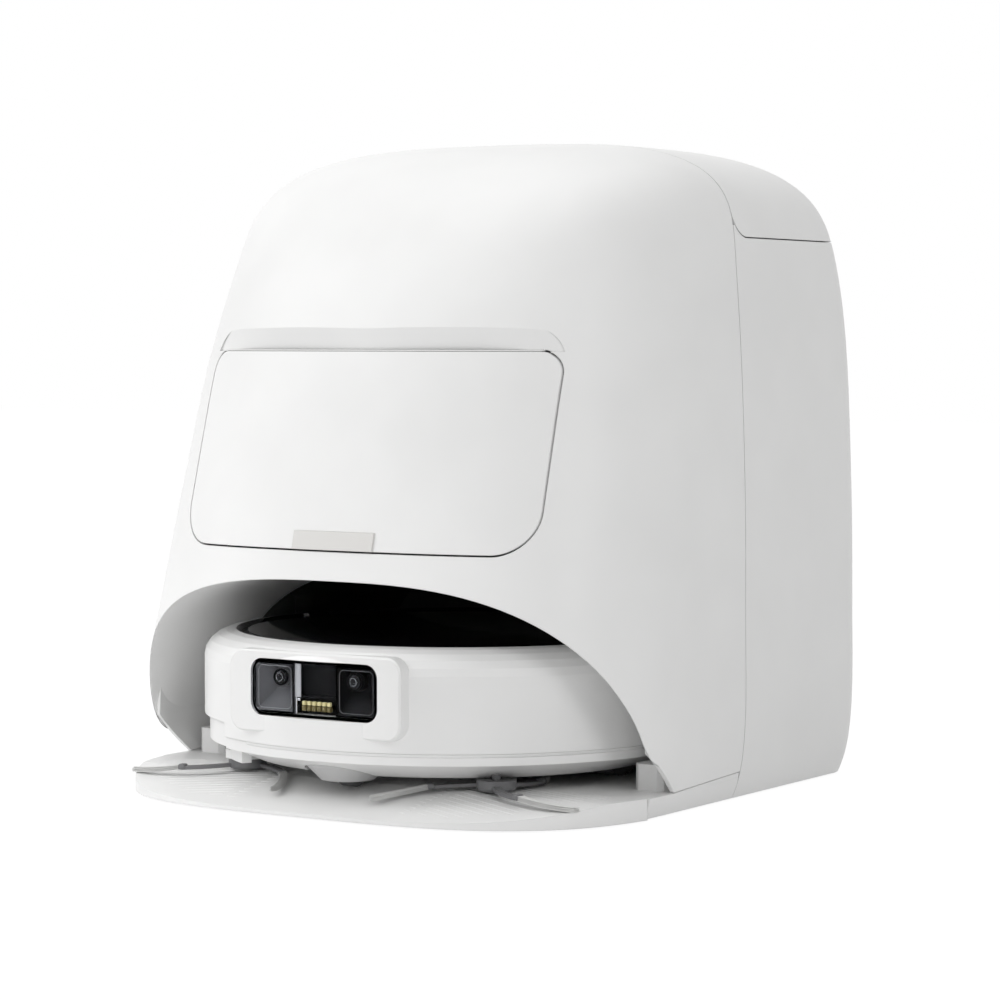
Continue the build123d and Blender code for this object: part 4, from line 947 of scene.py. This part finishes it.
@dataclass
class RampRibs:
    """The fine ribs and short dashes on both sides of the ramp.

    Args:
        front: the ramp's front edge.
        nose: its height there.
        top: its height where it is level.
        run: length of its slope.
        half_width: half the base's width.
        base_y: where the base's rounded front begins.
        power: power of that rounded outline.
        back: where the ribs end towards the bay.
        margin: how far they stay off the outline.
        count: ribs on each side.
        first: where the foremost rib's line starts, front to back.
        pitch: distance between ribs, front to back.
        lean: degrees by which the ribs run forward.
        inner: place of the dashes, from the middle.
        gap: from the dashes' place to the ribs' inner ends.
        step: distance between tested places along a rib.
        tests: tested places along a rib.
        stride: tested places that one edge of the rib spans.
        dash_shift: from a rib's line to the dash beside it.
        dash_back: where the dashes end towards the bay.
        dash_start: a dash's inner end, from its place.
        dash_end: a dash's outer end, from its place.
        radius: radius of ribs and dashes.
        rise: share of the radius by which their middle lies under the surface.
    """

    front: float = -0.2075
    nose: float = 0.004
    top: float = 0.0155
    run: float = 0.075
    half_width: float = 0.203
    base_y: float = 0.018
    power: float = 3.5
    back: float = -0.101
    margin: float = 0.012
    count: int = 22
    first: float = -0.19
    pitch: float = 0.0062
    lean: float = 20.0
    inner: float = 0.066
    gap: float = 0.012
    step: float = 0.0016
    tests: int = 90
    stride: int = 6
    dash_shift: float = 0.003
    dash_back: float = -0.104
    dash_start: Pair = (-0.004, 0.002)
    dash_end: Pair = (0.005, -0.0012)
    radius: float = 0.0006
    rise: float = 0.5

    def height(self, y: float) -> float:
        """Height of the ramp's surface at a place front to back."""
        return min(self.top, self.nose + (y - self.front) / self.run * (self.top - self.nose))

    def inside(self, x: float, y: float) -> bool:
        """Tells whether a place lies on the ramp, clear of its edge.

        Args:
            x: the place, left to right.
            y: the place, front to back.

        Returns:
            Whether a rib may lie there.
        """
        reach = self.base_y - self.front - self.margin
        wide = self.half_width - self.margin
        across = (abs(x) / wide) ** self.power
        along = ((self.base_y - y) / reach) ** self.power
        return across + along < 1 and y < self.back

    def run_of(self, start: float) -> list[Point]:
        """Points of one rib on the right side, from its inner end outwards.

        Args:
            start: where the rib's line meets the inner limit, front to back.

        Returns:
            Points on the ramp's surface.
        """
        points = []
        for k in range(self.tests):
            along = self.step * k
            x = self.inner + self.gap + along * math.cos(math.radians(self.lean))
            y = start - along * math.sin(math.radians(self.lean))
            if not self.inside(x, y):
                if points:
                    break
                continue
            points.append((x, y, self.height(y) - self.rise * self.radius))
        return points

    def build(self, tree: NodeTree) -> None:
        """Lays the ribs and dashes on the ramp.

        Args:
            tree: the rib tree.
        """
        lines = []
        for k in range(self.count):
            start = self.first + k * self.pitch
            points = self.run_of(start)
            lines += list(zip(points[::self.stride], points[self.stride::self.stride]))
            y = start + self.dash_shift
            if self.inside(self.inner, y) and y < self.dash_back:
                z = self.height(y) - self.rise * self.radius
                ends = (self.dash_start, self.dash_end)
                lines.append(tuple((self.inner + dx, y + dy, z) for dx, dy in ends))
        lines += [((-a[0], a[1], a[2]), (-b[0], b[1], b[2])) for a, b in lines]
        mesh = tree.mesh(edges_mesh(lines), WHITE, Radius=self.radius)
        new_piece("ramp_ribs", mesh, WHITE, "station")


@dataclass
class SensorFront:
    """What lies behind the robot's window: lenses, rims, lamps and trims.

    Args:
        spacing: distance between the two lenses.
        lens_rise: height of the lenses over the window's middle.
        lens_set_back: from the back of a camera to the seat of its lens.
        lens_radius: radius of a lens.
        ring: profile of the ring round a lens, as (share of the radius, height).
        mark: profile of the bright mark in a lens, in the same way.
        dome_share: share of the radius that the dome takes.
        dome_foot: height of the dome's foot.
        dome_base: height from which the dome curves.
        dome_rise: how far the dome stands up.
        dome_steps: faces from the dome's foot to its top.
        rim_corner: corner radius of the line round a hood.
        rim_inset: from the hood's side to that line.
        rim_set_back: from the hood's front to that line.
        rim_radius: radius of that line.
        rim_steps: edges in each of its corners.
        lamp_count: lamps in the row.
        lamp_pitch: distance between lamps.
        lamp_set_back: from the back of the window to the lamps.
        lamp_top: (depth, height) of a lamp's middle in the row.
        lamp_top_size: sides of a lamp.
        lamp_foot: (depth, height) of a lamp base's middle in the row.
        lamp_foot_size: sides of a lamp base.
        trim_margin: how far the upright trims are shorter than what they stand on.
        strip: (aside, depth) of the bright strip's middle from the left hood's edge.
        strip_size: (width, depth) of the bright strip.
        ledge: (aside, depth, height) of the middle of the ledge under the strip.
        ledge_size: sides of the ledge.
        wall: (aside, depth) of the pale wall's middle from the sensor's corner.
        wall_size: (width, depth) of the pale wall.
    """

    spacing: float = 0.059
    lens_rise: float = 0.0065
    lens_set_back: float = 0.0095
    lens_radius: float = 0.0064 * 0.7
    ring: tuple[Pair, ...] = (
        (0.0, 0.0), (1.25, 0.0), (1.25, 0.0012), (1.12, 0.0016), (1.0, 0.0014), (1.0, 0.0004),
        (0.0, 0.0004),
    )
    mark: tuple[Pair, ...] = (
        (0.56, 0.0019), (0.62, 0.0019), (0.60, 0.0023), (0.54, 0.0025), (0.56, 0.0019),
    )
    dome_share: float = 0.98
    dome_foot: float = 0.0005
    dome_base: float = 0.0006
    dome_rise: float = 0.0019
    dome_steps: int = 8
    rim_corner: float = 0.0034
    rim_inset: float = 0.0026
    rim_set_back: float = 0.0005
    rim_radius: float = 0.0003
    rim_steps: int = 6
    lamp_count: int = 6
    lamp_pitch: float = 0.004
    lamp_set_back: float = 0.0012
    lamp_top: Pair = (0.0012, 0.0022)
    lamp_top_size: Point = (0.0023, 0.0024, 0.0026)
    lamp_foot: Pair = (0.0016, -0.0012)
    lamp_foot_size: Point = (0.0027, 0.0030, 0.0032)
    trim_margin: float = 0.001
    strip: Pair = (0.0011, 0.003)
    strip_size: Pair = (0.0012, 0.004)
    ledge: Point = (0.0022, 0.004, -0.0012)
    ledge_size: Point = (0.0034, 0.005, 0.0016)
    wall: Pair = (0.0022, -0.0006)
    wall_size: Pair = (0.0042, 0.001)

    def lens(self, side: Side) -> None:
        """A domed lens with its ring and mark on a camera's barrel.

        Args:
            side: the camera's side.
        """
        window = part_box("sensor_window")
        x = side.value * self.spacing / 2
        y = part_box(f"camera_{side.word}")[1][1] - self.lens_set_back
        z = (window[0][2] + window[1][2]) / 2 + self.lens_rise
        place = Matrix.Translation((x, y, z)) @ Matrix.Rotation(math.radians(90), 4, "X")
        r = self.lens_radius
        ring = lathe([(r * share, height) for share, height in self.ring], place)
        new_piece(f"lens_ring_{side.word}", ring, HOOD_BLACK, "bumper")
        dome = [(0.0, self.dome_foot), (r * self.dome_share, self.dome_foot)]
        for k in range(1, self.dome_steps + 1):
            turn = math.radians(90 * k / self.dome_steps)
            height = self.dome_base + self.dome_rise * math.sin(turn)
            dome.append((r * self.dome_share * math.cos(turn), height))
        new_piece(f"lens_dome_{side.word}", lathe(dome, place), LENS, "bumper")
        mark = lathe([(r * share, height) for share, height in self.mark], place)
        new_piece(f"lens_mark_{side.word}", mark, LENS_RING, "bumper")

    def rim(self, side: Side, tree: NodeTree) -> None:
        """The thin line round a camera's hood, brighter on the left one as painted light.

        Args:
            side: the camera's side.
            tree: the rib tree.
        """
        low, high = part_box(f"camera_{side.word}")
        y = low[1] + self.rim_set_back
        inset = self.rim_corner + self.rim_inset
        points = []
        for k in range(4):
            x = high[0] - inset if k in (0, 3) else low[0] + inset
            z = high[2] - inset if k < 2 else low[2] + inset
            for step in range(self.rim_steps + 1):
                turn = math.radians(90 * k + 90 / self.rim_steps * step)
                across = self.rim_corner * math.cos(turn)
                points.append((x + across, y, z + self.rim_corner * math.sin(turn)))
        lines = list(zip(points, points[1:] + points[:1]))
        # Lit and shaded copies of one rim: the left one's brighter finish is painted light.
        finish = HOOD_RIM_PAINTED_LIGHT if side is Side.LEFT else PAINTED_LIGHT_HOOD_GREY
        mesh = tree.mesh(edges_mesh(lines), finish, Radius=self.rim_radius)
        new_piece(f"hood_rim_{side.word}", mesh, finish, "bumper")

    def lamps(self) -> None:
        """The row of small warm lamps on their bases."""
        low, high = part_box("led_strip")
        z = (low[2] + high[2]) / 2
        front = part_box("sensor_window")[1][1] + self.lamp_set_back
        for name, (depth, rise), size, finish in (
            ("front_lamps", self.lamp_top, self.lamp_top_size, LAMP),
            ("lamp_bases", self.lamp_foot, self.lamp_foot_size, LAMP_BASE),
        ):
            row = bmesh.new()
            for k in range(self.lamp_count):
                x = (k - (self.lamp_count - 1) / 2) * self.lamp_pitch
                rounded_block(row, (x, front + depth, z + rise), size)
            new_piece(name, take_mesh(row), finish, "bumper")

    def trims(self) -> None:
        """The bright strip on its ledge by the left camera, and the pale wall beside it, lit by
        painted glow.
        """
        low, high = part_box("camera_left")
        floor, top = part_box("depth_sensor")
        strip = bmesh.new()
        middle = (high[0] + self.strip[0], low[1] + self.strip[1], (low[2] + high[2]) / 2)
        rounded_block(strip, middle, (*self.strip_size, high[2] - low[2] - self.trim_margin))
        middle = (high[0] + self.ledge[0], low[1] + self.ledge[1], floor[2] + self.ledge[2])
        rounded_block(strip, middle, self.ledge_size)
        new_piece("bright_strip", take_mesh(strip), CHROME, "bumper")
        wall = bmesh.new()
        middle = (floor[0] + self.wall[0], floor[1] + self.wall[1], (floor[2] + top[2]) / 2)
        rounded_block(wall, middle, (*self.wall_size, top[2] - floor[2] - self.trim_margin))
        new_piece("sensor_wall", take_mesh(wall), PALE_WALL_PAINTED_GLOW, "bumper")

    def build(self, tree: NodeTree) -> None:
        """Makes both lenses with their rims, the lamps and the trims.

        Args:
            tree: the rib tree.
        """
        for side in Side:
            self.lens(side)
            self.rim(side, tree)
        self.lamps()
        self.trims()


@dataclass
class EdgeTrims:
    """The pale seal over the hatch's top edge, the robot's dark rim bands of painted shade and its
    skirt fillet.

    Args:
        edge_depth: depth under the hatch's highest point that counts as its top edge.
        seal_rise: gap between the hatch and the seal.
        seal_height: the seal's height.
        seal_set_back: from the hatch's front to the seal's.
        seal_depth: the seal's depth.
        robot_y: place of the robot's axis, front to back.
        arc_steps: faces along a band.
        band_radius: inner radius of the slope inside the rim.
        band_slope: width and height of that slope.
        band_skin: how far the bands stand off the slope.
        rear_span: first and last angle of the rear band.
        front_span: first and last angle of the front band.
        fillet: corners of the fillet as radius and height over the bumper's lower edge.
        fillet_span: first and last angle of the fillet.
    """

    edge_depth: float = 0.0002
    seal_rise: float = 0.00025
    seal_height: float = 0.0010
    seal_set_back: float = 0.0008
    seal_depth: float = 0.0045
    robot_y: float = -0.019
    arc_steps: int = 60
    band_radius: float = 0.1502
    band_slope: float = 0.0031
    band_skin: float = 0.0002
    rear_span: Pair = (101.0, 259.0)
    front_span: Pair = (-99.0, 99.0)
    fillet: tuple[Pair, ...] = (
        (0.1734, -0.0026), (0.1747, -0.0006), (0.1748, -0.0001), (0.1734, -0.0001),
    )
    fillet_span: Pair = (-20.0, 99.0)

    def hatch_edge(self) -> tuple[list[Pair], float]:
        """Finds the foremost line of the hatch's top edge.

        Returns:
            Its points from left to right, and its height.
        """
        node = frame["nodes"]["hatch_panel"]
        spots = [node.matrix_world @ v.co for v in node.data.vertices]
        top = max(v.z for v in spots)
        line: list[Pair] = []
        for x, y in sorted((v.x, v.y) for v in spots if v.z > top - self.edge_depth):
            while len(line) > 1:
                (ax, ay), (bx, by) = line[-2:]
                if (bx - ax) * (y - ay) > (by - ay) * (x - ax):
                    break
                line.pop()
            line.append((x, y))
        return line, top

    def seal(self) -> None:
        """A strip that follows the hatch's top edge."""
        line, top = self.hatch_edge()
        z0 = top + self.seal_rise
        z1 = z0 + self.seal_height
        sections = []
        for x, y in line:
            near = y + self.seal_set_back
            far = y + self.seal_set_back + self.seal_depth
            sections.append([(x, near, z0), (x, far, z0), (x, far, z1), (x, near, z1)])
        mesh = mesh_of(lambda bm: sweep_rows(bm, sections), False)
        new_piece("hatch_top_seal", mesh, WHITE, "station")

    def arc(self, section: list[Pair], span: Pair) -> Mesh:
        """Turns a closed section part of the way round the robot.

        Args:
            section: corners as radius and height.
            span: first and last angle from straight ahead, in degrees, positive to the right.

        Returns:
            The closed mesh.
        """
        sections = []
        for k in range(self.arc_steps + 1):
            turn = math.radians(span[0] + (span[1] - span[0]) * k / self.arc_steps)
            across, along = math.sin(turn), -math.cos(turn)
            sections.append([(a * across, self.robot_y + a * along, b) for a, b in section])
        return mesh_of(lambda bm: sweep_rows(bm, sections), False)

    def bands(self) -> None:
        """The dark bands of painted shade on the slope inside the rim, and the fillet under the
        bumper's edge.
        """
        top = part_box("rear_shell")[1][2]
        r, slope, skin = self.band_radius, self.band_slope, self.band_skin
        section = [
            (r, top - slope),
            (r + slope, top),
            (r + slope - skin, top + skin),
            (r - skin, top - slope + skin),
        ]
        # Dark sheets over the rim's white inner slope, where it lies in shade: painted shade.
        rear = self.arc(section, self.rear_span)
        new_piece("rear_rim_band", rear, COVER, "robot")
        front = self.arc(section, self.front_span)
        new_piece("front_rim_band", front, COVER, "bumper")
        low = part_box("bumper_shell")[0][2]
        fillet = self.arc([(a, low + b) for a, b in self.fillet], self.fillet_span)
        new_piece("skirt_fillet", fillet, ROBOT_WHITE, "robot")

    def build(self) -> None:
        """Lays the seal and the bands."""
        self.seal()
        self.bands()


@dataclass
class RearVents:
    """The slatted exhaust on the station's back, clear of the power inlet.

    Args:
        count: slats in a column.
        low: height of the lowest slat.
        pitch: distance between slats.
        columns: middles of the two columns, left to right.
        half_length: half a slat's length.
        radius: a slat's radius.
        back: the back wall's furthest place.
        back_height: the height at which it lies.
        back_radius: radius of the wall's upright curve.
        proud: how far a slat's middle stands off the wall.
    """

    count: int = 15
    low: float = 0.105
    pitch: float = 0.006
    columns: Pair = (-0.075, 0.0)
    half_length: float = 0.032
    radius: float = 0.0011
    back: float = 0.2075
    back_height: float = 0.284
    back_radius: float = 4.3
    proud: float = 0.0001

    def build(self, tree: NodeTree) -> None:
        """Lays the slats on the back wall.

        Args:
            tree: the rib tree.
        """
        lines = []
        for k in range(self.count):
            z = self.low + k * self.pitch
            y = self.back - (z - self.back_height) ** 2 / (2 * self.back_radius) + self.proud
            for x in self.columns:
                lines.append(((x - self.half_length, y, z), (x + self.half_length, y, z)))
        mesh = tree.mesh(edges_mesh(lines), WHITE, Radius=self.radius)
        new_piece("rear_vent_slats", mesh, WHITE, "station")


@dataclass
class Studio:
    """Floor, light and camera.

    Args:
        eye: the camera's place.
        heading: degrees by which it stands round to the right.
        pitch: degrees by which it looks down.
        lens: focal length in millimetres.
        sensor: width of its frame in millimetres.
        clip: how far it sees.
        floor_reach: half the floor's side.
        floor_colour: the floor's colour under the lamps.
        floor_glow: strength of the white that the camera sees on the floor.
        floor_share: share of that white; the rest keeps the shadow.
        fill: strength of the world's light on the object.
        lamps: name, place, aim, size and power of each area lamp.
        spot_place: place of the spot that brightens the low left corner.
        spot_aim: the place that it points at.
        spot_cone: its cone in degrees.
        spot_power: its power.
        spot_softness: its radius.
    """

    eye: Point = (1.22177, -1.85799, 0.30849)
    heading: float = 32.86
    pitch: float = 2.867
    lens: float = 115.33
    sensor: float = 36.0
    clip: float = 50.0
    floor_reach: float = 9.0
    floor_colour: Colour = (0.88, 0.88, 0.88)
    floor_glow: float = 1.10
    floor_share: float = 0.85
    fill: float = 0.51
    lamps: tuple[tuple[str, Point, Point, Pair, float], ...] = (
        ("key_lamp", (-1.5, -1.15, 1.45), (0, -0.1, 0.2), (1.1, 1.1), 15.5),
        ("top_lamp", (-0.4, -0.1, 2.1), (0, 0, 0.3), (1.4, 1.4), 9.0),
        ("side_strip", (1.75, -1.3, 1.3), (0.15, -0.1, 0.3), (0.4, 0.8), 7.5),
    )
    spot_place: Point = (0.1, -1.8, 0.35)
    spot_aim: Point = (-0.2, -0.15, 0.05)
    spot_cone: float = 15.0
    spot_power: float = 34.0
    spot_softness: float = 0.2

    @staticmethod
    def background_rays(graph: Graph) -> Socket:
        """A factor that is 1 where the camera, a reflection or glass sees the background.

        Args:
            graph: the floor's or the world's tree.

        Returns:
            The factor's socket.
        """
        path = graph.node("ShaderNodeLightPath")
        seen = graph.node("ShaderNodeMath", operation="MAXIMUM")
        either = graph.node("ShaderNodeMath", operation="MAXIMUM")
        graph.join(path.outputs["Is Camera Ray"], seen.inputs[0])
        graph.join(path.outputs["Is Transmission Ray"], seen.inputs[1])
        graph.join(seen.outputs[0], either.inputs[0])
        graph.join(path.outputs["Is Glossy Ray"], either.inputs[1])
        return either.outputs[0]

    def floor(self) -> None:
        """A plain pale floor that keeps a soft shadow."""
        mesh = bpy.data.meshes.new("floor")
        far = self.floor_reach
        corners = [(-far, -far, 0), (far, -far, 0), (far, far, 0), (-far, far, 0)]
        mesh.from_pydata(corners, [], [(0, 1, 2, 3)])
        plane = bpy.data.objects.new("floor", mesh)
        bpy.context.scene.collection.objects.link(plane)
        material = bpy.data.materials.new("pale_floor")
        material.use_nodes = True
        nodes = material.node_tree.nodes
        graph = Graph(material.node_tree)
        shader = nodes["Principled BSDF"]
        set_inputs(shader, {
            "Base Color": (*self.floor_colour, 1.0),
            "Roughness": 0.8,
            "Specular IOR Level": 0.1,
        })
        glow = graph.node("ShaderNodeEmission", {"Color": PURE_WHITE, "Strength": self.floor_glow})
        share = graph.node("ShaderNodeMath", {1: self.floor_share}, operation="MULTIPLY")
        mix = graph.node("ShaderNodeMixShader")
        graph.join(self.background_rays(graph), share.inputs[0])
        graph.join(share.outputs[0], mix.inputs["Fac"])
        graph.join(shader.outputs["BSDF"], mix.inputs[1])
        graph.join(glow.outputs["Emission"], mix.inputs[2])
        graph.join(mix.outputs["Shader"], nodes["Material Output"].inputs["Surface"])
        mesh.materials.append(material)

    def world(self) -> None:
        """White where the camera, a reflection or glass sees it, and a softer fill elsewhere."""
        world = bpy.data.worlds.new("studio")
        bpy.context.scene.world = world
        world.use_nodes = True
        nodes = world.node_tree.nodes
        graph = Graph(world.node_tree)
        fill = nodes["Background"]
        set_inputs(fill, {"Color": PURE_WHITE, "Strength": self.fill})
        white = graph.node("ShaderNodeBackground", {"Color": PURE_WHITE, "Strength": 1.0})
        mix = graph.node("ShaderNodeMixShader")
        graph.join(self.background_rays(graph), mix.inputs["Fac"])
        graph.join(fill.outputs["Background"], mix.inputs[1])
        graph.join(white.outputs["Background"], mix.inputs[2])
        graph.join(mix.outputs["Shader"], nodes["World Output"].inputs["Surface"])

    @staticmethod
    def place_light(data: bpy.types.Light, place: Point, aim: Point) -> None:
        """Puts a light into the scene.

        Args:
            data: the light.
            place: where it stands.
            aim: the place that it points at.
        """
        light = bpy.data.objects.new(data.name, data)
        bpy.context.scene.collection.objects.link(light)
        light.location = place
        light.rotation_euler = (Vector(aim) - Vector(place)).to_track_quat("-Z", "Y").to_euler()

    def lamp(self, name: str, place: Point, aim: Point, size: Pair, power: float) -> None:
        """A soft area lamp.

        Args:
            name: the lamp's name.
            place: where it stands.
            aim: the place that it points at.
            size: its two sides.
            power: its power in watts.
        """
        data = bpy.data.lights.new(name, "AREA")
        data.shape = "RECTANGLE"
        data.size, data.size_y = size
        data.energy = power
        self.place_light(data, place, aim)

    def spot(self) -> None:
        """A soft spot that brightens the low left corner."""
        data = bpy.data.lights.new("low_spot", "SPOT")
        data.spot_size = math.radians(self.spot_cone)
        data.spot_blend = 1.0
        data.shadow_soft_size = self.spot_softness
        data.energy = self.spot_power
        self.place_light(data, self.spot_place, self.spot_aim)

    def camera(self) -> None:
        """The camera at the photo's place."""
        data = bpy.data.cameras.new("camera")
        data.lens = self.lens
        data.sensor_width = self.sensor
        data.clip_end = self.clip
        camera = bpy.data.objects.new("camera", data)
        bpy.context.scene.collection.objects.link(camera)
        camera.location = self.eye
        camera.rotation_euler = (math.radians(90 - self.pitch), 0, math.radians(self.heading))
        bpy.context.scene.camera = camera

    def build(self) -> None:
        """Makes the whole studio."""
        self.floor()
        self.world()
        self.camera()
        for lamp in self.lamps:
            self.lamp(*lamp)
        self.spot()
        bpy.context.scene.view_settings.view_transform = "Standard"


def main() -> None:
    """Builds every piece in order."""
    logging.basicConfig(level=logging.INFO, format="%(message)s")
    dress_nodes()
    ribs = rib_tree()
    strands = strand_tree()
    for side in Side:
        SideBrush(side).build(strands)
        MopPad(side).build()
    DustBag().build()
    RampRibs().build(ribs)
    SensorFront().build(ribs)
    EdgeTrims().build()
    RearVents().build(ribs)
    Studio().build()


if __name__ == "__main__":
    main()
